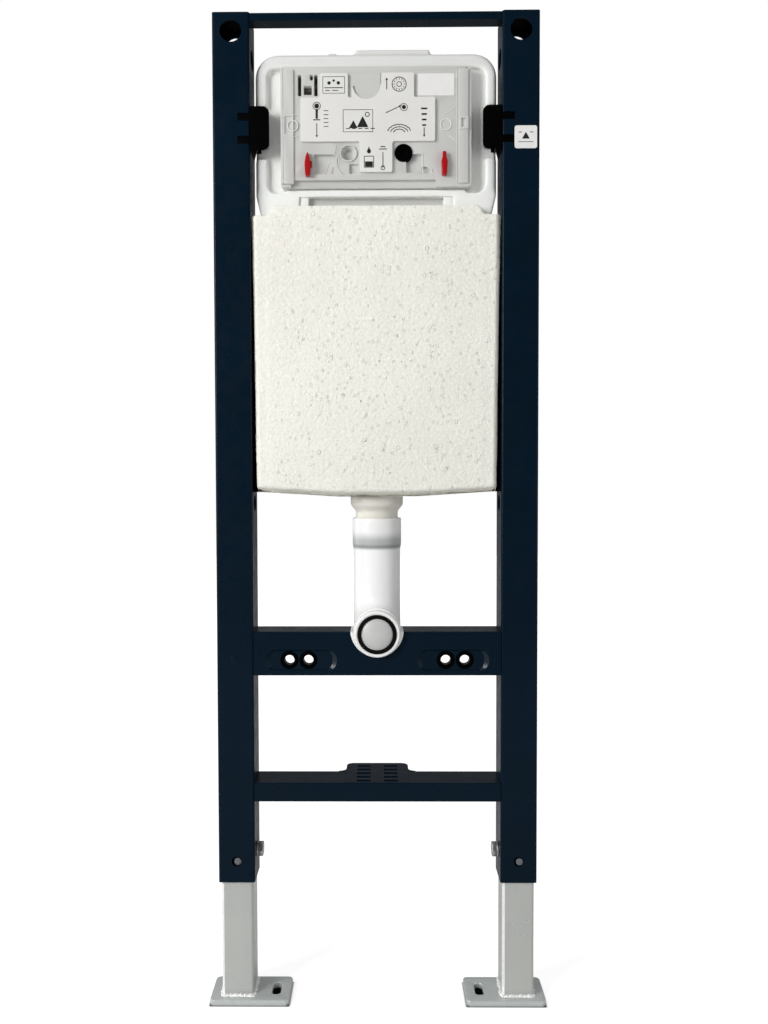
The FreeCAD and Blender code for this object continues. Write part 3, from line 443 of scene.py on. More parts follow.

# pressed beads with pits between them, some of which stand out as small open rings; the pits and rings are
# bumped and also darkened as painted shade
foamBeads = startFinish("foamBeads", (236, 235, 226), 0.85, Specular_IOR_Level=0.2)
addClouds(foamBeads, 9, 0.35, 0.7, 0.7, (228, 226, 217), 2)
edges = cellsOf(foamBeads, 165, "DISTANCE_TO_EDGE")
# painted shade: the pits between the beads are darkened
tint(foamBeads, spread(foamBeads, edges, 0.0, 0.05, 0.12, 0.0), (212, 209, 199))
bumpBy(foamBeads, spread(foamBeads, edges, 0.0, 0.16), 0.2, 0.0010)
addClouds(foamBeads, 330, 0.5, 0.72, 0.34, (208, 206, 198), 2)
addClouds(foamBeads, 250, 0.52, 0.72, 0.5, (250, 249, 244), 2)
addGrain(foamBeads, 220, 0.9, 0.0012, 3)
for scale, rarity in ((125, 0.6), (80, 0.68)):
    rim = bandOf(foamBeads, cellsOf(foamBeads, scale), 0.1, 0.2, 0.2, 0.3)
    chosen = spread(foamBeads, cellsOf(foamBeads, scale, output="Color"), rarity, rarity + 0.04)
    ring = product(foamBeads, rim, chosen)
    # painted shade: the open rings are darkened as well as bumped
    tint(foamBeads, product(foamBeads, ring, 0.12), (186, 184, 176))
    bumpBy(foamBeads, ring, 0.6, 0.0011)

# milky pipe: the seal inside shows through as a soft grey band
pipePlastic = makeMilky("pipePlastic", (246, 246, 245), 0.3, (20, 0.35, 0.7, 0.4, (234, 234, 231)),
                        (240, 0.03, 0.0008), 0.25, (0.008, 0.008, 0.007))
low, high = (corner.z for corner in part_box("socket_seal"))
height = axisOf(pipePlastic, objectPoint(pipePlastic), "Z")
seal = bandOf(pipePlastic, height, low - 6 * mm, low + 2 * mm, (low + high) / 2, high + 8 * mm)
foot = bandOf(pipePlastic, height, low - 4 * mm, low, low, low + 5 * mm)
tint(pipePlastic, product(pipePlastic, seal, 0.6), (112, 116, 120))
tint(pipePlastic, product(pipePlastic, foot, 0.5), (70, 74, 78))

# plug shaded as a shallow dome, which falls with the square of the way from its middle
plugPlastic = makePlain("plugPlastic", (197, 197, 195), 0.38, (45, 0.4, 0.7, 0.45, (183, 183, 181)),
                        (800, 0.06, 0.0004))
domeFall = -8.3
low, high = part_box("outlet_plug")
away = addNode(plugPlastic, "ShaderNodeVectorMath", operation="DISTANCE")
away.inputs[1].default_value = (low + high) / 2
link(plugPlastic, objectPoint(plugPlastic), away.inputs[0])
square = product(plugPlastic, away.outputs["Value"], away.outputs["Value"])
bumpBy(plugPlastic, product(plugPlastic, square, domeFall), 1.0, 1.0)

slotFinish = {
    "navy_paint": navyPaint, "galvanised_steel": galvanised, "zinc_bolt": boltZinc, "tank_white": tankPlastic,
    "black_plastic": blackPlastic, "foam_white": foamBeads, "panel_grey": panelPlastic,
    "plug_grey": plugPlastic, "guide_white": guidePlastic, "red_plastic": redPlastic,
    "pipe_white": pipePlastic, "label_paper": labelPaper, "grey_rubber": greyRubber,
    "black_rubber": blackRubber,
}
for entry in frame["record"]["subparts"]:
    nodes[entry["node"]].material_slots[0].material = slotFinish[entry["material_slot"]]
print("finishes made")

# foot plates with broken edges, drawn legs, and the weld beads round the feet of the legs
footPlan = {
    "edge": 0.9 * mm, "highlightTurn": 0.2, "beadRadius": 2.7 * mm, "beadStep": 2.6 * mm, "beadSink": 0.4 * mm,
    "shift": ((-0.5, 0.5), (-0.5, 0.5), (-0.4, 0.5)), "swell": ((0.8, 1.25),),
    "stretch": ((0.9, 1.2), (0.9, 1.2), (0.75, 1.05)), "roll": ((-0.4, 0.4), (-0.4, 0.4), (0, 3)),
}
random.seed(7)


def draw(ranges):
    return [random.uniform(low, high) for low, high in ranges]


def addBead(spot):
    spot += Vector(draw(footPlan["shift"])) * mm
    bead = addBall(footPlan["beadRadius"] * draw(footPlan["swell"])[0], spot)
    bead.scale = draw(footPlan["stretch"])
    bead.rotation_euler = draw(footPlan["roll"])
    applyPlace(bead)
    return bead


# painted highlight: picks the faces that turn to the key lamp
def paintedHighlightFace(normal):
    return normal.x < -footPlan["highlightTurn"] and normal.y < -footPlan["highlightTurn"]


for side in sides:
    plate = copyNode(f"{side}_foot_plate", f"{side}_plate_finished")
    roundOff(plate, footPlan["edge"], 3)
    finishPiece(plate, "galvanised_steel", f"{side}_foot_plate", body="feet", material=plateZinc)
    leg = copyNode(f"{side}_leg", f"{side}_leg_drawn")
    shadeSmooth(leg)
    finishPiece(leg, "galvanised_steel", f"{side}_leg", body="feet")
    paintFaces(leg, weldAndHighlightZinc, paintedHighlightFace)  # painted highlight: the corner faces that turn to the key lamp get the bright weld zinc
    low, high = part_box(f"{side}_leg")
    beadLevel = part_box(f"{side}_foot_plate")[1].z - footPlan["beadSink"]
    beads = []
    corners = [(low.x, low.y), (high.x, low.y), (high.x, high.y), (low.x, high.y)]
    for start, end in zip(corners, corners[1:] + corners[:1]):
        run = Vector((end[0] - start[0], end[1] - start[1], 0))
        count = int(run.length / footPlan["beadStep"])
        for step in range(count):
            beads.append(addBead(Vector((*start, beadLevel)) + run * (step + 0.5) / count))
    weld = joinAll(f"{side}_foot_weld", beads)
    shadeRound(weld)
    finishPiece(weld, "galvanised_steel", body="feet", material=weldAndHighlightZinc)
print("feet finished")

# dark pads and grey buttons behind the sight holes: painted shade standing in for the shaded leg seen through
# them
sightHoleShade = {"half": 9 * mm, "rise": 28 * mm, "gap": 0.05 * mm, "wall": 2.5 * mm, "button": 4.7 * mm,
            "buttonShift": (1.3 * mm, -0.6 * mm), "buttonFront": 1.5 * mm, "buttonEdge": 0.6 * mm,
            "count": 40}
for side in sides:
    postLow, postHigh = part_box(f"{side}_post")
    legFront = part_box(f"{side}_leg")[0].y
    middle = (postLow.x + postHigh.x) / 2
    level = postLow.z + sightHoleShade["rise"]
    half = sightHoleShade["half"]
    padFront = postFront + sightHoleShade["wall"] + sightHoleShade["gap"]
    shadePad = addBlock(f"{side}_sight_shade_pad", (middle - half, padFront, level - half),
                   (middle + half, legFront - sightHoleShade["gap"], level + half))
    finishPiece(shadePad, "black_plastic")
    across, upward = sightHoleShade["buttonShift"]
    button = addRod(f"{side}_sight_shade_button", "y", sightHoleShade["button"],
                    (middle + across, postFront + sightHoleShade["buttonFront"], level + upward),
                    (middle + across, padFront, level + upward), sightHoleShade["count"])
    roundOff(button, sightHoleShade["buttonEdge"], 3)
    finishPiece(button, "black_plastic", material=shadedLegGrey)
print("glide pads set")

# pan beam: the recesses round the pan holes get pressed, sloping ends
beamPlan = {
    "recessOffset": 99.5 * mm, "recessLevel": 20.5 * mm, "halfLength": 47 * mm, "halfHeight": 14 * mm,
    "corner": 13.5 * mm, "depth": 1.2 * mm, "deeper": 1.4 * mm, "endSlope": 6 * mm, "sideSlope": 2 * mm,
    "onFloor": 0.05 * mm, "onOutline": 0.3 * mm, "smooth": 19, "weight": 90, "slopes": (-0.97, -0.3),
    "lampSide": -0.15,
}
beam = copyNode("pan_beam", "pan_beam_pressed")
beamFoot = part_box("pan_beam")[0].z
corner = beamPlan["corner"]
for point in beam.data.vertices:
    if abs(point.co.y - postFront - beamPlan["depth"]) > beamPlan["onFloor"]:
        continue
    point.co.y += beamPlan["deeper"]
    across = point.co.x - centerX
    middle = math.copysign(beamPlan["recessOffset"], across)
    level = point.co.z - beamFoot - beamPlan["recessLevel"]
    outX = max(0, abs(across - middle) - beamPlan["halfLength"] + corner)
    outZ = max(0, abs(level) - beamPlan["halfHeight"] + corner)
    reach = math.hypot(outX, outZ)
    if abs(reach - corner) < beamPlan["onOutline"]:
        point.co.x -= math.copysign(outX / reach * beamPlan["endSlope"], across - middle)
        point.co.z -= math.copysign(outZ / reach * beamPlan["sideSlope"], level)
shadeSmooth(beam, beamPlan["smooth"])
applyModifier(beam, "WEIGHTED_NORMAL", weight=beamPlan["weight"], keep_sharp=True)
finishPiece(beam, "navy_paint", "pan_beam")


def pressedEnd(normal):  # a sloping end that faces the key lamp
    least, most = beamPlan["slopes"]
    return least < normal.y < most and normal.x < beamPlan["lampSide"]


# painted sheen on the pressed ends that face the key lamp
paintFaces(beam, keyLampSheenPaint, pressedEnd)  # these ends shine more

# black bushes in the pan holes
bushPlan = {"radius": 11.8 * mm, "bore": 6.45 * mm, "front": 2.9 * mm, "back": 4.2 * mm, "spare": 2 * mm,
            "edge": 0.4 * mm, "offsets": (-115, -90, 90, 115)}
bushes = []
for offset in bushPlan["offsets"]:
    spot = Vector((centerX + offset * mm, postFront, beamFoot + beamPlan["recessLevel"]))
    front = spot + Vector((0, bushPlan["front"], 0))
    back = spot + Vector((0, bushPlan["back"], 0))
    bush = addRod("bush", "y", bushPlan["radius"], front, back, fineCount)
    cutAway(bush, addRod("bore", "y", bushPlan["bore"], spot, back + Vector((0, bushPlan["spare"], 0))))
    softenEdges(bush, bushPlan["edge"], 2, 50)
    bushes.append(bush)
bushSet = joinAll("pan_hole_bushes", bushes)
shadeSmooth(bushSet)
finishPiece(bushSet, "black_plastic")
print("pan beam pressed")

# waste tongue: pressed flush with the top of its bar, with slot edges turned down behind it
tonguePlan = {"rise": 0.35 * mm, "turnDown": 2.6 * mm, "tuck": 0.1 * mm}
tongue = copyNode("waste_bracket", "waste_tongue")
tongueLow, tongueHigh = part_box("waste_bracket")
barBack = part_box("lower_crossbar")[1].y
for point in tongue.data.vertices:
    if point.co.z > (tongueLow.z + tongueHigh.z) / 2:
        point.co.z = tongueLow.z + tonguePlan["rise"]
    elif point.co.y > barBack:
        point.co.z = tongueLow.z - tonguePlan["turnDown"]
    else:
        point.co.z = tongueLow.z - tonguePlan["tuck"]
finishPiece(tongue, "navy_paint", "waste_bracket")

# flat weld mark on the front of the left post
markPlan = {"radius": 6 * mm, "rise": 0.5 * mm, "level": 457.5 * mm}
postLow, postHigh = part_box("left_post")
mark = addBall(markPlan["radius"], ((postLow.x + postHigh.x) / 2, postFront, markPlan["level"]), 4)
mark.name = "left_post_mark"
mark.scale = (1, markPlan["rise"] / markPlan["radius"], 1)
applyPlace(mark)
shadeRound(mark)
finishPiece(mark, "navy_paint")
print("tongue and mark made")

# clamp bolts with chamfered hexagon heads and turned washers
boltPlan = {"washer": 10 * mm, "thickness": 2 * mm, "shank": 5 * mm, "headAcross": 17 * mm,
            "chamfer": 1.1 * mm, "edge": 0.5 * mm, "headSides": 6, "shankCount": 32}


def boltRod(name, radius, middle, start, end, count=48):
    return addRod(name, "x", radius, (start, middle.y, middle.z), (end, middle.y, middle.z), count)


for side in sides:
    low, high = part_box(f"{side}_clamp_bolt")
    middle = (low + high) / 2
    inward, faceX = innerFace(side)
    tipX, headX = (low.x, high.x) if side == "left" else (high.x, low.x)
    washerX = faceX + inward * boltPlan["thickness"]
    shank = boltRod("shank", boltPlan["shank"], middle, tipX, washerX, boltPlan["shankCount"])
    washer = boltRod("washer", boltPlan["washer"], middle, faceX, washerX)
    softenEdges(washer, boltPlan["edge"])
    head = boltRod("head", boltPlan["headAcross"] / math.sqrt(3), middle, washerX, headX,
                   boltPlan["headSides"])
    pickFaces(head, lambda normal: normal.x * inward > straightOn)
    bpy.ops.mesh.inset(thickness=boltPlan["chamfer"])
    leaveEdit()
    softenEdges(head, boltPlan["edge"])
    bolt = joinAll(f"{side}_bolt_finished", [washer, shank, head])
    shadeSmooth(bolt)
    finishPiece(bolt, "zinc_bolt", f"{side}_clamp_bolt")
print("bolts finished")

# foam jacket: two pressed halves with soft edges, stepped sides, beads and pits
jacket = {
    "voxel": 2.4 * mm, "rounding": 2, "frontBand": 4 * mm, "stripWidth": 20 * mm, "stripEase": 4 * mm,
    "stripDrop": 0.5 * mm, "cornerWidth": 6 * mm, "leftDrop": 2 * mm, "rightDrop": 5 * mm,
    "creaseOffset": 77 * mm, "creaseDrop": 2 * mm, "bottomBevel": 6.5 * mm, "bevelLean": 2.2,
    "bellyHalf": 52 * mm, "bellyRise": 0.06, "taper": 6.6 * mm, "footSpread": 3 * mm,
    "beadSize": 6 * mm, "beadHeight": 0.3 * mm, "waveSize": 80 * mm, "waveHeight": 0.9 * mm,
    "pitSink": 0.3 * mm,
    "pits": ((-112, 976, 1.9), (28, 880, 2.0), (24, 903, 1.2), (33, 846, 1.1), (5, 847, 1.2), (18, 702, 1.1),
             (148, 1008, 1.3), (-58, 930, 1.0), (-20, 795, 1.1), (70, 960, 1.1), (-90, 760, 1.1),
             (96, 742, 1.0)),
}
beadTexture = bpy.data.textures.new("foamBeadRelief", "VORONOI")
beadTexture.noise_scale = jacket["beadSize"]
waveTexture = bpy.data.textures.new("foamWaves", "CLOUDS")
waveTexture.noise_scale = jacket["waveSize"]
foamLow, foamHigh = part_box("insulation_front")


def shapeFoamFront(piece):  # side strips lean back, a crease runs down the left, the lower edge is bevelled
    halfWidth = (foamHigh.x - foamLow.x) / 2
    for point in piece.data.vertices:
        if foamLow.y + jacket["frontBand"] < point.co.y:
            continue
        offset = point.co.x - centerX
        aside = abs(offset)
        share = (point.co.z - foamLow.z) / (foamHigh.z - foamLow.z)
        edge = halfWidth - jacket["taper"] * (1 - share)
        slope = min(1, max(0, aside - edge + jacket["stripWidth"]) / jacket["stripEase"])
        corner = max(0, aside - edge + jacket["cornerWidth"]) / jacket["cornerWidth"]
        cornerDrop = jacket["leftDrop" if offset < 0 else "rightDrop"]
        lean = max(0, -offset - jacket["creaseOffset"]) / (halfWidth - jacket["creaseOffset"])
        belly = foamLow.z + max(0, aside - jacket["bellyHalf"]) * jacket["bellyRise"]
        bevel = max(0, belly + jacket["bottomBevel"] - point.co.z) * jacket["bevelLean"]
        if aside > edge - jacket["stripWidth"]:
            point.co.x += math.copysign(jacket["footSpread"] * (1 - share), offset)
        point.co.y += slope * jacket["stripDrop"] + corner * cornerDrop + lean * jacket["creaseDrop"] + bevel


for half in ("front", "rear"):
    foam = copyNode(f"insulation_{half}", f"foam_{half}")
    applyModifier(foam, "REMESH", mode="VOXEL", voxel_size=jacket["voxel"])
    applyModifier(foam, "SMOOTH", factor=0.5, iterations=jacket["rounding"])
    if half == "front":
        shapeFoamFront(foam)
    for texture, height in ((waveTexture, jacket["waveHeight"]), (beadTexture, jacket["beadHeight"])):
        applyModifier(foam, "DISPLACE", texture=texture, texture_coords="LOCAL", strength=height,
                      mid_level=0.5)
    if half == "front":
        pitFront = foamLow.y + jacket["pitSink"]
        pits = [addBall(radius * mm, (centerX + offset * mm, pitFront, height * mm))
                for offset, height, radius in jacket["pits"]]
        cutAway(foam, joinAll("foam_pits", pits))
    shadeRound(foam)
    finishPiece(foam, "foam_white", f"insulation_{half}")

# black strips in the gaps between the jacket and the posts: painted shade for the deep shade there
gapShadePlan = {"front": 9 * mm, "back": 34 * mm, "foot": 6 * mm, "top": 330 * mm, "gap": 0.1 * mm,
              "footWidth": 10 * mm, "topWidth": 2 * mm}
for side in sides:
    inward, faceX = innerFace(side)
    ends = sorted(faceX + inward * gapShadePlan[name] for name in ("gap", "footWidth"))
    gapShade = addBlock(f"{side}_jacket_gap_shade",
                      (ends[0], postFront + gapShadePlan["front"], foamLow.z + gapShadePlan["foot"]),
                      (ends[1], postFront + gapShadePlan["back"], foamLow.z + gapShadePlan["top"]))
    upper = foamLow.z + gapShadePlan["top"] / 2
    for point in gapShade.data.vertices:
        if point.co.z > upper and abs(point.co.x - faceX) > gapShadePlan["topWidth"]:
            point.co.x = faceX + inward * gapShadePlan["topWidth"]
    finishPiece(gapShade, "foam_white", material=blackPlastic)
print("foam jacket shaped")

# tank: the blown head is rounded all over, the lower body inside the foam stays as it is
jacketTop = foamHigh.z
tankLow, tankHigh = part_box("tank_body")
tankFront = tankLow.y
tank = {
    "voxel": 2.2 * mm, "rounding": 4, "split": jacketTop - 16 * mm, "overlap": 1 * mm,
    "channelHalf": 100 * mm, "channelTop": 15 * mm, "channelSink": 3 * mm, "channelDepth": 11.5 * mm,
    "channelReach": 3 * mm, "ribWidth": 12 * mm, "ribSetBack": 3 * mm, "ribEdge": 1.2 * mm,
    "shadeHalf": 0.6 * mm, "shadeSpare": 0.5 * mm, "bossRise": 7 * mm,
    "knob": ((-62, 6, -6), (-51, 30, 2.6)), "knobEdge": 2 * mm,
}
tankHead = copyNode("tank_body", "tank_head")
keepPart(tankHead, tank["split"], True)
applyModifier(tankHead, "REMESH", mode="VOXEL", voxel_size=tank["voxel"])
applyModifier(tankHead, "SMOOTH", factor=0.5, iterations=tank["rounding"])
tankLower = copyNode("tank_body", "tank_lower")
keepPart(tankLower, tank["split"] + tank["overlap"], False)
channelLow = Vector((centerX - tank["channelHalf"], tankFront - tank["channelReach"],
                     jacketTop - tank["channelSink"]))
channelHigh = Vector((centerX + tank["channelHalf"], tankFront + tank["channelDepth"],
                      jacketTop + tank["channelTop"]))
cutAway(tankHead, addBlock("channel", channelLow, channelHigh))
ribs = []
for side in (-1, 1):
    ends = sorted((side * (tank["channelHalf"] - tank["ribWidth"]), side * tank["channelHalf"]))
    rib = addBlock("rib", (centerX + ends[0], tankFront + tank["ribSetBack"], channelLow.z),
                   (centerX + ends[1], channelHigh.y + tank["overlap"], channelHigh.z + tank["overlap"]))
    softenEdges(rib, tank["ribEdge"], 3)
    ribs.append(rib)
tankTop = tankHigh.z - tank["bossRise"]
knob = addBlock("knob", *((centerX + x * mm, tankFront + y * mm, tankTop + z * mm)
                          for x, y, z in tank["knob"]))
softenEdges(knob, tank["knobEdge"], 3)
tankWhole = joinAll("tank_blown", [tankHead, tankLower, knob, *ribs])
shadeSmooth(tankWhole, wideAngle)
finishPiece(tankWhole, "tank_white", "tank_body")
# painted shade: a grey sheet at the back of the channel darkens it
channelShade = addBlock(
    "tank_channel_shade", (channelLow.x + tank["ribWidth"], channelHigh.y - tank["shadeHalf"], channelLow.z),
    (channelHigh.x - tank["ribWidth"], channelHigh.y + tank["shadeHalf"], channelHigh.z + tank["shadeSpare"]))
finishPiece(channelShade, "tank_white", material=panelPlastic)
print("tank shaped")

# tank clamps with rounded edges, whose undersides and inner sides lean back from the face
clampPlan = {"lowBand": 14 * mm, "wideBand": 14 * mm, "lift": 0.42, "lean": 0.15, "edge": 0.9 * mm}
for side in sides:
    clamp = copyNode(f"{side}_tank_clamp", f"{side}_clamp_finished")
    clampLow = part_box(f"{side}_tank_clamp")[0]
    inward, faceX = innerFace(side)
    for point in clamp.data.vertices:
        depth = point.co.y - clampLow.y
        if point.co.z < clampLow.z + clampPlan["lowBand"] and (point.co.x - faceX) * inward > 0:
            point.co.z += depth * clampPlan["lift"]
        if (point.co.x - faceX) * inward > clampPlan["wideBand"]:
            point.co.x -= inward * depth * clampPlan["lean"]
    roundOff(clamp, clampPlan["edge"], 3)
    finishPiece(clamp, "black_plastic", f"{side}_tank_clamp")
print("clamps finished")

# service panel: a place is a way from the centre plane and a height above the foot, in millimetres
panelLow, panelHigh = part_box("service_frame")
panelFront = panelLow.y
panelPlan = {
    "corner": 4 * mm, "edge": 0.7 * mm, "clear": 3, "holes": ((-35.5, 43), (35.5, 43)), "holeRadius": 11.6,
    "holeDepth": 20, "lip": (-110, 77, 0, 9, 3, 5.0), "through": 5 * mm,
    "pockets": ((-80, -54.5, 17, 42, 5.0), (39, 59, 18, 42, 5.0), (-34.5, -22.5, 17, 29.5, 3.5)),
    "windows": ((-100.5, -96, 116, 143), (-79.5, -75, 116, 143), (-93, -82.5, 117.5, 129),
                (-85, -81, 136, 143)),
    "windowDepth": 7, "windowCorner": 1.2 * mm, "shadeInset": 0.4, "shadeReach": (-6.2, 6.9),
    "arch": (63, 17, 8.5), "archDepth": 4, "dotRadius": 0.8, "dotDepth": 2.5,
    "dots": ((-120, 150), (117, 151), (-116, 128), (-118, 16), (116, 5), (-119.5, 4)),
}
clear = panelPlan["clear"]


def panelPoint(offset, height, forward=0.0):
    return Vector((centerX + offset * mm, panelFront - forward * mm, panelLow.z + height * mm))


def panelBlock(name, low, high, bottom, top, forward, backward):  # the last two from the panel's front
    return addBlock(name, (centerX + low * mm, panelFront - forward * mm, panelLow.z + bottom * mm),
                    (centerX + high * mm, panelFront + backward * mm, panelLow.z + top * mm))


def panelRod(name, offset, height, radius, forward, backward, count=48):
    return addRod(name, "y", radius * mm, panelPoint(offset, height, forward),
                  panelPoint(offset, height, -backward), count)


def throughEdge(a, b):  # an edge that runs from front to back
    return abs(a.y - b.y) > panelPlan["through"]


panel = addBlock("service_panel", panelLow, panelHigh)
bevelEdges(panel, throughEdge, panelPlan["corner"], 5)
cutAway(panel, panelBlock("lip", *panelPlan["lip"]))
for hole in panelPlan["holes"]:
    cutAway(panel, panelRod("hole", *hole, panelPlan["holeRadius"], clear, panelPlan["holeDepth"]))
for *area, depth in panelPlan["pockets"]:
    cutAway(panel, panelBlock("pocket", *area, clear, depth))
for area in panelPlan["windows"]:
    window = panelBlock("window", *area, clear, panelPlan["windowDepth"])
    bevelEdges(window, throughEdge, panelPlan["windowCorner"], 3)
    cutAway(panel, window)
arch = panelRod("arch", *panelPlan["arch"], clear, panelPlan["archDepth"])
keepPart(arch, panelPoint(*panelPlan["arch"][:2]).z, True)
cutAway(panel, arch)
for dot in panelPlan["dots"]:
    cutAway(panel, panelRod("dot", *dot, panelPlan["dotRadius"], clear, panelPlan["dotDepth"], 16))
roundOff(panel, panelPlan["edge"])
finishPiece(panel, "panel_grey", "service_frame")
# painted shade: dark sheets at the floors of the window pockets
inset = panelPlan["shadeInset"]
windowShades = [panelBlock("shadeSheet", low + inset, high - inset, bottom + inset, top - inset,
                       *panelPlan["shadeReach"])
            for low, high, bottom, top in panelPlan["windows"]]
finishPiece(joinAll("window_painted_shade", windowShades), "panel_grey", material=shadeGap)
print("service panel cut")

# raised strips, clips, finger rings and thin ridges of the panel
stripPlan = {"clip": (107.5, 119, 72, 89, 3.4, -0.2), "clipHole": (110, 115.5, 75, 86, 5, -1.2),
             "window": (-117.5, -107.5, 68, 90, 5, -0.6), "edge": 0.5 * mm}
for side in sides:
    strip = addBlock(f"{side}_strip", *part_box(f"{side}_panel_strip"))
    if side == "right":
        addOn(strip, panelBlock("clip", *stripPlan["clip"]))
        cutAway(strip, panelBlock("clipHole", *stripPlan["clipHole"]))
    else:  # the left one is a low frame with a wide window
        cutAway(strip, panelBlock("window", *stripPlan["window"]))
    roundOff(strip, stripPlan["edge"])
    finishPiece(strip, "panel_grey", f"{side}_panel_strip")


def addRidge(points, width, rise):  # a low rounded ridge through points on the panel
    curve = bpy.data.curves.new("ridge", "CURVE")
    curve.dimensions = "3D"
    curve.bevel_depth = width * mm / 2
    curve.bevel_resolution = 2
    spline = curve.splines.new("NURBS")
    spline.points.add(len(points) - 1)
    for point, (offset, height) in zip(spline.points, points):
        point.co = (*panelPoint(offset, height, rise), 1)
    spline.order_u = 3
    spline.use_endpoint_u = True
    ridge = bpy.data.objects.new("ridge", curve)
    bpy.context.scene.collection.objects.link(ridge)
    takeUp(ridge)
    bpy.ops.object.convert(target="MESH")
    return bpy.context.object


ridgePlan = {
    "rings": (((90, 79, 0.3), 7.0, 1.6), ((-107, 78, 1.2), 6.6, 1.4)),
    "ridges": (
        (((86, 89), (96, 96), (105, 104)), 0.9, 0.1), (((94, 65), (100, 60), (105, 56)), 0.9, 0.1),
        (((104.5, 8), (104.5, 66), (104.5, 150)), 0.9, 0.05),
        (((-120.5, 6), (-120.5, 66), (-120.5, 150)), 0.9, 0.05),
        (((53, 17), (54, 24), (63, 27.5), (72, 24), (73, 17)), 1.1, 0.2),
        (((60, 17), (60.3, 30), (60, 43)), 1.1, 0.2),
        (((-118, 92), (-110, 93), (-101, 92)), 1.0, 1.0), (((-118, 65), (-110, 64), (-100, 65)), 1.0, 1.0),
        (((-63, 16), (-60, 29), (-52, 38), (-49, 54)), 1.0, 0.1),
        (((-41, 16), (-47, 23), (-49, 32), (-48, 38)), 1.0, 0.1),
    ),
    "seams": (
        (((-64, 16), (-61, 28.5), (-53, 37), (-50, 54)), 0.45, 0.0),
        (((-42, 16), (-48, 23), (-50, 32), (-49, 38)), 0.45, 0.0),
    ),
}
ridges = [addRing("ring", radius * mm, thickness * mm, panelPoint(*place))
          for place, radius, thickness in ridgePlan["rings"]]
ridges += [addRidge(*plan) for plan in ridgePlan["ridges"]]
ridgeSet = joinAll("panel_ridges", ridges)
shadeSmooth(ridgeSet, wideAngle)
finishPiece(ridgeSet, "panel_grey", material=guidePlastic)
seams = [addRidge(*plan) for plan in ridgePlan["seams"]]
finishPiece(joinAll("panel_seams", seams), "panel_grey", material=printInk)
print("panel dressed")

# tube ring with its stepped bore, and the ribbed plug beside it
insertPlan = {"ringSteps": ((2.0, 3.5), (1.6, 3.5), (1.4, 2.0)),
              "plugSteps": ((2.2, 1.8), (1.8, -1.2), (2.0, 3.0)), "edge": 0.4 * mm}
for node, steps, slot in (("tube_ring", insertPlan["ringSteps"], "panel_grey"),
                          ("tube_plug", insertPlan["plugSteps"], "black_plastic")):
    low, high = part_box(node)
    middle = (low + high) / 2
    insert = addRod(f"{node}_turned", "y", (high.x - low.x) / 2, (middle.x, low.y, middle.z),
                    (middle.x, high.y, middle.z), fineCount)
    pickFaces(insert, lambda normal: normal.y < -straightOn)
    for rim, depth in steps:
        bpy.ops.mesh.inset(thickness=rim * mm)
        bpy.ops.mesh.extrude_region_move(TRANSFORM_OT_translate={"value": (0, depth * mm, 0)})
    leaveEdit()
    roundOff(insert, insertPlan["edge"])
    finishPiece(insert, slot, node)
print("inserts turned")

# guide plate with rounded corners, and the finger scoop between its tabs
guideLow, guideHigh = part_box("guide_plate")
guidePlan = {
    "corner": 2.6 * mm, "edge": 0.7 * mm, "scoop": (-30, 6, 119, 143.5), "scoopRadius": 17.8,
    "scoopEdge": 0.4 * mm, "scoopRise": 1.0, "scoopInset": (0.8, 0.2), "roundLift": 2, "notchSpare": 1,
    "notchFoot": 106, "notchLevel": 128.5, "notchReach": (9, 0.2), "through": 3 * mm, "straight": 0.1 * mm,
    "arcX": (-31 * mm, 7.5 * mm), "arcZ": (guideLow.z + 92 * mm, guideHigh.z - 12 * mm),
}


def guideCorner(a, b):  # a straight edge from front to back, off the notch's arc, which keeps its facets
    aslant = max(abs(a.x - b.x), abs(a.z - b.z))
    if abs(a.y - b.y) <= guidePlan["through"] or aslant >= guidePlan["straight"]:
        return False
    arcLow, arcHigh = guidePlan["arcX"]
    arcFoot, arcTop = guidePlan["arcZ"]
    return not (arcLow < a.x - centerX < arcHigh and arcFoot < a.z < arcTop)


guide = copyNode("guide_plate", "guide_plate_moulded")
bevelEdges(guide, guideCorner, guidePlan["corner"], 5)
scoopLow, scoopHigh, scoopBottom, scoopTop = guidePlan["scoop"]
scoopMiddle = (scoopLow + scoopHigh) / 2
leftInset, rightInset = guidePlan["scoopInset"]
notchLow = panelPoint(scoopLow - guidePlan["notchSpare"], guidePlan["notchFoot"])
notchHigh = panelPoint(scoopHigh + guidePlan["notchSpare"], guidePlan["notchLevel"])
addOn(guide, addBlock("notchFill", (notchLow.x, guideLow.y, notchLow.z),
                      (notchHigh.x, guideHigh.y, notchHigh.z)))
cutAway(guide, panelRod("notch", scoopMiddle, guidePlan["notchLevel"], guidePlan["scoopRadius"],
                        *guidePlan["notchReach"], fineCount))
roundOff(guide, guidePlan["edge"], 3)
finishPiece(guide, "guide_white", "guide_plate")
scoop = panelBlock("finger_scoop", scoopLow + leftInset, scoopHigh - rightInset, scoopBottom, scoopTop,
                   guidePlan["scoopRise"], 0.0)
addOn(scoop, panelRod("scoopRound", scoopMiddle, scoopBottom + guidePlan["roundLift"],
                      guidePlan["scoopRadius"] - leftInset, guidePlan["scoopRise"], 0.0, fineCount))
roundOff(scoop, guidePlan["scoopEdge"])
finishPiece(scoop, "guide_white", material=panelPlastic)
print("guide plate moulded")

# plain printed marks on the guide plate: drops, arrows, gauges and dashes
inkPlan = {"thickness": 0.16, "line": 0.8, "weight": 1.35, "tip": 2.0}
guideFront = (panelFront - guideLow.y) / mm


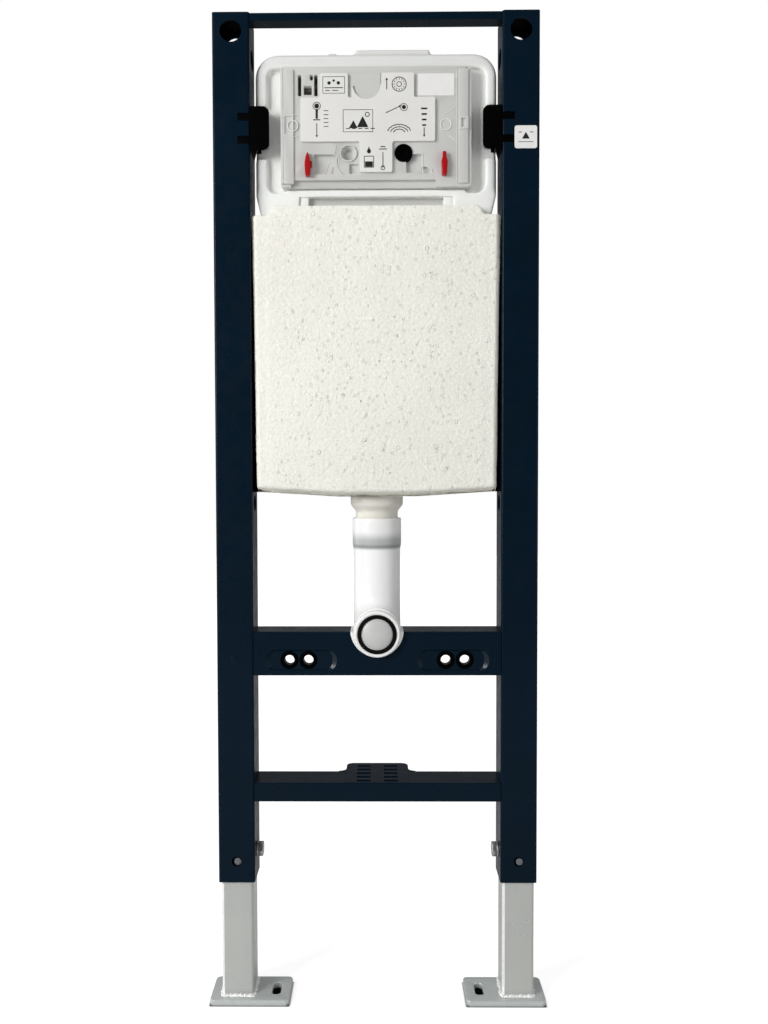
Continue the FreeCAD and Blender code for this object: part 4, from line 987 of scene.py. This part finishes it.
def inkBar(offset, height, length, width, angle=0.0):
    thick = width * inkPlan["weight"]
    bar = addBlock("inkBar", (-length / 2 * mm, -inkPlan["thickness"] / 2 * mm, -thick / 2 * mm),
                   (length / 2 * mm, inkPlan["thickness"] / 2 * mm, thick / 2 * mm))
    bar.rotation_euler = (0, math.radians(-angle), 0)
    bar.location = panelPoint(offset, height, guideFront)
    applyPlace(bar)
    return bar


def inkRing(offset, height, radius, width):
    return addRing("inkRing", radius * mm, width * inkPlan["weight"] * mm,
                   panelPoint(offset, height, guideFront), 0.2, 36)


def addFlat(place, radius, depth, corners, angle=0.0, stretch=1.0):  # a filled disc or polygon
    clearSelection()
    bpy.ops.mesh.primitive_cylinder_add(vertices=corners, radius=radius * mm, depth=depth, location=place,
                                        rotation=(quarterTurn, math.radians(-angle), 0))
    return settle("flat", (1, stretch, 1))


def inkShape(offset, height, radius, corners, angle=0.0, stretch=1.0):
    return addFlat(panelPoint(offset, height, guideFront), radius, inkPlan["thickness"] * mm, corners, angle,
                   stretch)


def inkArrow(offset, height, length, angle):  # the shaft, and its tip at the far end
    lean = math.radians(angle)
    shaft = inkBar(offset, height, length, inkPlan["line"], angle)
    tip = inkShape(offset + math.cos(lean) * length / 2, height + math.sin(lean) * length / 2,
                   inkPlan["tip"], 3, angle - 90)
    return [shaft, tip]


def inkFrame(low, high, bottom, top, width=0.5):
    middle, level = (low + high) / 2, (bottom + top) / 2
    return [inkBar(middle, bottom, high - low, width), inkBar(middle, top, high - low, width),
            inkBar(low, level, top - bottom, width, 90), inkBar(high, level, top - bottom, width, 90)]


# upper left tab: a box with a level line and drops
marks = inkFrame(-68, -40, 118, 139)
marks += [inkBar(-54, 125, 24, 0.8), inkShape(-60, 131, 2.2, 20)]
marks += [inkShape(-54, 134, 1.6, 20), inkShape(-48, 131, 2.2, 20)]
marks += [inkBar(-62, 121.5, 6, 0.7), inkBar(-52, 121.5, 8, 0.7)]
# upper right tab: a gauge ring with ticks and a pointer
marks += [inkRing(30, 129, 9, 0.8), inkRing(30, 129, 3, 0.7)]
for angle in range(0, 360, 30):
    turn = math.radians(angle)
    marks.append(inkBar(30 + 6.6 * math.cos(turn), 129 + 6.6 * math.sin(turn), 2.2, 0.6, angle))
marks += inkArrow(14, 129, 13, 90)
# left end of the band: a column of discs with an arrow down
marks += [inkShape(-76, 102, 3.2, 24), inkRing(-76, 102, 4.8, 0.7)]
marks += [inkBar(-76, 92, 3, 9), inkBar(-76, 84.5, 9, 1.0)]
marks += inkArrow(-76, 72, 16, -90)
marks += [inkBar(-64, 76 + 5 * step, 6, 0.7) for step in range(5)]
# middle of the band: two framed hills over a dashed line
marks += inkFrame(-42, -4, 69, 97)
marks += [inkShape(-29, 77, 6.5, 3), inkShape(-17, 79.5, 8.5, 3, 0, 1.1), inkRing(-11, 91, 2.6, 0.8)]
marks += [inkBar(-36 + 8 * step, 73.2, 5, 0.8) for step in range(5)]
# right end of the band: nested bows under a pointer, and a fading scale
for radius in (6, 9, 12):
    for angle in range(30, 170, 20):
        turn = math.radians(angle)
        marks.append(inkBar(30 + radius * 1.3 * math.cos(turn), 66 + radius * math.sin(turn),
                            radius * 0.42, 0.8, angle + 90))
marks += inkArrow(22, 97, 20, 25)
marks += [inkShape(36, 100, 3.0, 6), inkRing(36, 100, 4.6, 0.6)]
marks += [inkBar(62, 98 - 7 * step, 8 - step, 1.6) for step in range(4)]
marks += inkArrow(62, 69, 10, -90)
# lower tab: a cup with a drop and two dashes
marks += inkFrame(-15, -3, 24, 38, 0.7)
marks += [inkShape(-9, 44, 2.6, 20), inkShape(-9, 47, 2.3, 3, 0, 1.5), inkBar(-9, 28, 10, 5)]
marks += inkArrow(9, 34, 18, -90)
marks += [inkBar(9, 47, 10, 0.9), inkBar(9, 50, 6, 0.9), inkRing(9, 23, 2.4, 0.7)]
finishPiece(joinAll("guide_marks", marks), "guide_white", material=printInk)
print("guide marks printed")

# red pins: flat keys with a narrowed upper end, whose widths are shares at heights that are shares too
pinPlan = {
    "edge": 0.9 * mm, "frontLean": 2.5 * mm, "cuts": (0.12, 0.42, 0.58, 0.8),
    "left": {0.0: 0.6, 0.12: 0.85, 0.42: 0.95, 0.58: 0.9, 0.8: 0.6, 1.0: 0.12},
    "right": {0.0: 0.72, 0.12: 0.85, 0.42: 0.95, 0.58: 1.0, 0.8: 0.6, 1.0: 0.58},
    "lobeReach": 1.6 * mm, "lobeFront": 3 * mm, "lobeBack": 1 * mm, "lobeHeights": (11 * mm, 19 * mm),
}
for side in sides:
    pinLow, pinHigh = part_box(f"{side}_red_pin")
    tall = pinHigh.z - pinLow.z
    middle = (pinLow + pinHigh) / 2
    pin = addBlock(f"{side}_pin_moulded", pinLow, pinHigh)
    for share in pinPlan["cuts"]:
        splitAt(pin, pinLow.z + tall * share)
    widths = pinPlan[side]
    for point in pin.data.vertices:
        width = widths[min(widths, key=lambda share: abs(share - (point.co.z - pinLow.z) / tall))]
        point.co.x = middle.x + (point.co.x - middle.x) * width
        if point.co.y < middle.y:
            point.co.y += (1 - width) * pinPlan["frontLean"]
    if side == "left":  # a side lobe
        foot, top = pinPlan["lobeHeights"]
        lobeLow = (middle.x, pinLow.y + pinPlan["lobeFront"], pinLow.z + foot)
        lobeHigh = (pinHigh.x + pinPlan["lobeReach"], pinHigh.y - pinPlan["lobeBack"], pinLow.z + top)
        addOn(pin, addBlock("lobe", lobeLow, lobeHigh))
    softenEdges(pin, pinPlan["edge"], 3, 30)
    shadeSmooth(pin, wideAngle)
    finishPiece(pin, "red_plastic", f"{side}_red_pin")
print("pins moulded")

# flush bend turned smooth: socket with a lip, straight pipe, quarter bend and outlet collar
bendLow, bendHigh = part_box("flush_bend")
sealLow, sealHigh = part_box("socket_seal")
plugLow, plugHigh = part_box("outlet_plug")
flushAxis = (sealLow + sealHigh) / 2
outletCenter = (plugLow + plugHigh) / 2
flushPlan = {
    "pipe": 31.5 * mm, "wall": 3.5 * mm, "socket": 33 * mm, "socketBore": 30.6 * mm, "socketSink": 2 * mm,
    "bend": 45 * mm, "collar": 30.5 * mm, "mouth": 25.6 * mm, "mouthDepth": 10 * mm, "collarLength": 8.5 * mm,
    "run": 29.5 * mm, "count": 72, "bendSteps": 24, "lip": 1.2 * mm, "smooth": 35,
}


def sweepPipe(name, profile):  # a ring swept along stations, each a middle, a lean and a radius
    clearSelection()
    bpy.ops.mesh.primitive_circle_add(vertices=flushPlan["count"], radius=1)
    ring = bpy.context.object
    points = [vertex.co.copy() for vertex in ring.data.vertices]
    bpy.data.objects.remove(ring)
    vertices, faces = [], []
    count = len(points)
    for middle, lean, radius in profile:
        for point in points:
            ahead = Vector((0, point.y * math.cos(lean), point.y * math.sin(lean)))
            vertices.append(middle + (Vector((point.x, 0, 0)) + ahead) * radius)
    for station in range(len(profile) - 1):
        here, there = station * count, (station + 1) * count
        for step in range(count):
            following = (step + 1) % count
            faces.append((here + step, here + following, there + following, there + step))
    mesh = bpy.data.meshes.new(name)
    mesh.from_pydata(vertices, [], faces)
    piece = bpy.data.objects.new(name, mesh)
    bpy.context.scene.collection.objects.link(piece)
    startEdit(piece)
    bpy.ops.mesh.remove_doubles(threshold=mergeReach)
    bpy.ops.mesh.normals_make_consistent(inside=False)
    leaveEdit()
    shadeSmooth(piece, flushPlan["smooth"])
    return piece


def bendStations(radius):  # round the bend and out to the front
    stations = []
    bendCenter = Vector((outletCenter.x, flushAxis.y - flushPlan["bend"], outletCenter.z + flushPlan["bend"]))
    for step in range(flushPlan["bendSteps"] + 1):
        turn = math.radians(90 * step / flushPlan["bendSteps"])
        spot = bendCenter + Vector((0, math.cos(turn), -math.sin(turn))) * flushPlan["bend"]
        stations.append((spot, -turn, radius))
    return stations


def uprightStations(*line):  # pairs of height and radius
    return [(Vector((flushAxis.x, flushAxis.y, height)), 0.0, radius) for height, radius in line]


def outwardStations(*line):  # pairs of depth and radius
    return [(Vector((outletCenter.x, depth, outletCenter.z)), -quarterTurn, radius) for depth, radius in line]


pipe, socket, socketBore = flushPlan["pipe"], flushPlan["socket"], flushPlan["socketBore"]
collar, mouth, run, lip = flushPlan["collar"], flushPlan["mouth"], flushPlan["run"], flushPlan["lip"]
bore = pipe - flushPlan["wall"]
runBore = run - flushPlan["wall"]
socketTop = bendHigh.z
socketBottom = sealLow.z - flushPlan["socketSink"]
outletFront = bendLow.y
collarBack = outletFront + flushPlan["collarLength"]
mouthBack = outletFront + flushPlan["mouthDepth"]
bendFront = flushAxis.y - flushPlan["bend"]
stations = uprightStations(
    (sealLow.z, bore), (sealLow.z, socketBore), (socketTop - lip, socketBore),
    (socketTop, socketBore + lip * 0.6), (socketTop, socket - lip * 0.4), (socketTop - lip * 0.5, socket),
    (socketTop - lip * 3, socket), (socketBottom + 6 * mm, socket),
    (socketBottom + 2 * mm, socket - 0.5 * mm), (socketBottom - 2 * mm, pipe), (socketBottom - 8 * mm, pipe))
stations += bendStations(pipe)
stations += outwardStations(
    (bendFront, run), (collarBack, run), (collarBack, collar - 0.5 * mm), (collarBack - 0.5 * mm, collar),
    (outletFront + 3 * mm, collar), (outletFront + 1 * mm, collar - 0.6 * mm), (outletFront, collar - 2 * mm),
    (outletFront, mouth + 1 * mm), (outletFront + 0.6 * mm, mouth), (mouthBack, mouth), (mouthBack, runBore),
    (bendFront, runBore))
stations += reversed(bendStations(bore))
stations += uprightStations((sealLow.z, bore))
finishPiece(sweepPipe("flush_bend_moulded", stations), "pipe_white", "flush_bend")

# flush neck with a smooth shoulder between its wide and its slim part
neckLow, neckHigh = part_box("flush_neck")
neckPlan = {"wide": 35.5 * mm, "slim": 28.5 * mm, "wall": 3.5 * mm, "coneTop": 662 * mm,
            "coneBottom": 650 * mm, "steps": 8, "collar": 3 * mm}
wide, slim, coneTop = neckPlan["wide"], neckPlan["slim"], neckPlan["coneTop"]
neckBore = slim - neckPlan["wall"]
neckLine = [(neckHigh.z, neckBore), (neckHigh.z, wide), (coneTop + neckPlan["collar"], wide)]
for step in range(neckPlan["steps"] + 1):
    share = step / neckPlan["steps"]
    ease = share * share * (3 - 2 * share)
    neckLine.append((coneTop + (neckPlan["coneBottom"] - coneTop) * share, wide + (slim - wide) * ease))
neckLine += [(neckLow.z, slim), (neckLow.z, neckBore), (neckHigh.z, neckBore)]
neck = sweepPipe("flush_neck_blown", uprightStations(*neckLine))
finishPiece(neck, "pipe_white", "flush_neck", material=neckPlasticShaded)
print("flush pipe moulded")

# outlet: rubber ring and the satin plug in it
outletPlan = {"plugEdge": 0.5 * mm, "ringEdge": 0.4 * mm, "plugReach": 3.6 * mm, "gap": 0.2 * mm,
              "spare": 3 * mm}
ringLow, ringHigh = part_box("outlet_seal")
plugRadius = (plugHigh.x - plugLow.x) / 2


def outletRod(name, radius, front, back):
    return addRod(name, "y", radius, (outletCenter.x, front, outletCenter.z),
                  (outletCenter.x, back, outletCenter.z), flushPlan["count"])


ring = outletRod("outlet_ring", (ringHigh.x - ringLow.x) / 2, ringLow.y, ringHigh.y)
spare = outletPlan["spare"]
cutAway(ring, outletRod("way", plugRadius + outletPlan["gap"], ringLow.y - spare, ringHigh.y + spare))
roundOff(ring, outletPlan["ringEdge"], 3)
finishPiece(ring, "black_rubber", "outlet_seal")
plug = outletRod("outlet_plug_satin", plugRadius, plugLow.y - outletPlan["plugReach"], plugHigh.y)
roundOff(plug, outletPlan["plugEdge"], 3, wideAngle)
finishPiece(plug, "plug_grey", "outlet_plug")
print("outlet finished")

# level sticker: a plain level mark
stickerLow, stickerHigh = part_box("level_sticker")
stickerMiddle = (stickerLow + stickerHigh) / 2
stickerPlan = {"ink": 0.12 * mm, "bars": ((-9.5, 9.5, -6.6, -5.9), (-9.5, -5, 5.5, 6.5), (5, 9.5, 5.5, 6.5)),
               "triangle": 5.6, "triangleRise": 0.5 * mm}
ink = stickerPlan["ink"]
stickerMarks = []
for low, high, bottom, top in stickerPlan["bars"]:
    barLow = (stickerMiddle.x + low * mm, stickerLow.y - ink, stickerMiddle.z + bottom * mm)
    barHigh = (stickerMiddle.x + high * mm, stickerLow.y + ink / 2, stickerMiddle.z + top * mm)
    stickerMarks.append(addBlock("stickerMark", barLow, barHigh))
trianglePlace = (stickerMiddle.x, stickerLow.y - ink / 4, stickerMiddle.z + stickerPlan["triangleRise"])
stickerMarks.append(addFlat(trianglePlace, stickerPlan["triangle"], ink * 1.5, 3))
finishPiece(joinAll("sticker_mark", stickerMarks), "label_paper", material=printInk)
print("sticker marked")

# floor, which glows for the camera except under the foot plates, where it is darkened as painted shade for
# the plate slots
stagePlan = {
    "floorSize": 14, "floorGlow": 0.74, "farGlow": 0.95, "glowReach": (0.7, 2.6), "mirrorReach": (-0.25, 0.0),
    "mirrorGlow": 0.12, "plateFade": (4 * mm, 2 * mm), "worldFill": 0.33, "backdrop": (-0.6, 0.2, 0.04, 0.22),
    "lamps": (
        {"name": "keyLamp", "place": (-1.8, -1.75, 1.4), "size": 1.2, "power": 62},
        {"name": "topLamp", "place": (0.1, -0.5, 2.9), "size": 1.8, "power": 5},
        {"name": "edgeLamp", "place": (-1.7, 0.45, 0.6), "size": 0.9, "power": 5},
        {"name": "sideLamp", "place": (1.9, -1.3, 0.8), "size": 1.4, "power": 9},
    ),
    "aim": (0.186, 0.0, 0.75),
}
clearSelection()
bpy.ops.mesh.primitive_plane_add(size=stagePlan["floorSize"], location=(centerX, 0, 0))
floor = bpy.context.object
floor.name = "studio_floor"
ground = startFinish("studioFloor", (200, 200, 200), 0.9, Specular_IOR_Level=0.0)
rays = addNode(ground, "ShaderNodeLightPath")
glow = addNode(ground, "ShaderNodeEmission")
glow.inputs["Color"].default_value = (1, 1, 1, 1)
floorPoint = objectPoint(ground)
away = addNode(ground, "ShaderNodeVectorMath", operation="LENGTH")
link(ground, floorPoint, away.inputs[0])
brightness = spread(ground, away.outputs["Value"], *stagePlan["glowReach"], stagePlan["floorGlow"],
                    stagePlan["farGlow"])
aside = addNode(ground, "ShaderNodeMath", operation="ABSOLUTE")
link(ground, axisOf(ground, floorPoint, "X"), aside.inputs[0])
ahead = axisOf(ground, floorPoint, "Y")


def plateBand(value, low, high):  # one under a plate, fading at its edges
    outside, inside = stagePlan["plateFade"]
    return bandOf(ground, value, low - outside, low + inside, high - inside, high + outside)


plateLow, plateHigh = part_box("right_foot_plate")
underPlateShade = product(ground, plateBand(aside.outputs["Value"], plateLow.x - centerX, plateHigh.x - centerX),
                     plateBand(ahead, plateLow.y, plateHigh.y))
openFloor = spread(ground, underPlateShade, 0.0, 1.0, 1.0, 0.0)
# painted shade: the floor under the foot plates is darkened so the slots look dark
tint(ground, underPlateShade, (16, 16, 16))
mirrored = product(ground, rays.outputs["Is Glossy Ray"],
                   spread(ground, ahead, *stagePlan["mirrorReach"], 0.0, stagePlan["mirrorGlow"]))
seen = addNode(ground, "ShaderNodeMath", operation="MAXIMUM")
link(ground, rays.outputs["Is Camera Ray"], seen.inputs[0])
link(ground, mirrored, seen.inputs[1])
strength = product(ground, seen.outputs["Value"], product(ground, brightness, openFloor))
link(ground, strength, glow.inputs["Strength"])
both = addNode(ground, "ShaderNodeAddShader")
link(ground, shaderOf(ground).outputs["BSDF"], both.inputs[0])
link(ground, glow.outputs["Emission"], both.inputs[1])
link(ground, both.outputs["Shader"], ground.node_tree.nodes["Material Output"].inputs["Surface"])
floor.data.materials.append(ground)

# world: white for the camera, and for mirrored rays brighter behind the frame than before it
world = bpy.data.worlds.new("studioWorld")
bpy.context.scene.world = world
world.use_nodes = True
background = world.node_tree.nodes["Background"]
background.inputs["Color"].default_value = (1, 1, 1, 1)
worldRays = addNode(world, "ShaderNodeLightPath").outputs
direction = addNode(world, "ShaderNodeTexCoord").outputs["Generated"]
backdrop = spread(world, axisOf(world, direction, "Y"), *stagePlan["backdrop"], "LINEAR")


def worldMix(factor, low, high):
    mixer = addNode(world, "ShaderNodeMix")
    link(world, factor, mixer.inputs["Factor"])
    feed(world, low, mixer.inputs["A"])
    feed(world, high, mixer.inputs["B"])
    return mixer.outputs["Result"]


lit = worldMix(worldRays["Is Glossy Ray"], stagePlan["worldFill"], backdrop)
lit = worldMix(worldRays["Is Transmission Ray"], lit, 1.0)
lit = worldMix(worldRays["Is Camera Ray"], lit, 1.0)
link(world, lit, background.inputs["Strength"])

# lamps and camera
for lamp in stagePlan["lamps"]:
    clearSelection()
    bpy.ops.object.light_add(type="AREA", location=lamp["place"])
    light = bpy.context.object
    light.name = lamp["name"]
    light.data.size = lamp["size"]
    light.data.energy = lamp["power"]
    towards = Vector(stagePlan["aim"]) - Vector(lamp["place"])
    light.rotation_euler = towards.to_track_quat("-Z", "Y").to_euler()

cameraPlan = {"place": (0.1882, -1.143, 0.6892), "turn": (88.085, 0.1415, 0.5347), "lens": 30.25,
              "sensor": 36, "shift": 0.01336, "reach": 100}
clearSelection()
bpy.ops.object.camera_add(location=cameraPlan["place"],
                          rotation=[math.radians(angle) for angle in cameraPlan["turn"]])
camera = bpy.context.object
camera.data.lens = cameraPlan["lens"]
camera.data.sensor_width = cameraPlan["sensor"]
camera.data.shift_x = cameraPlan["shift"]
camera.data.clip_end = cameraPlan["reach"]
bpy.context.scene.camera = camera
bpy.context.scene.view_settings.view_transform = "Standard"
print("studio set")
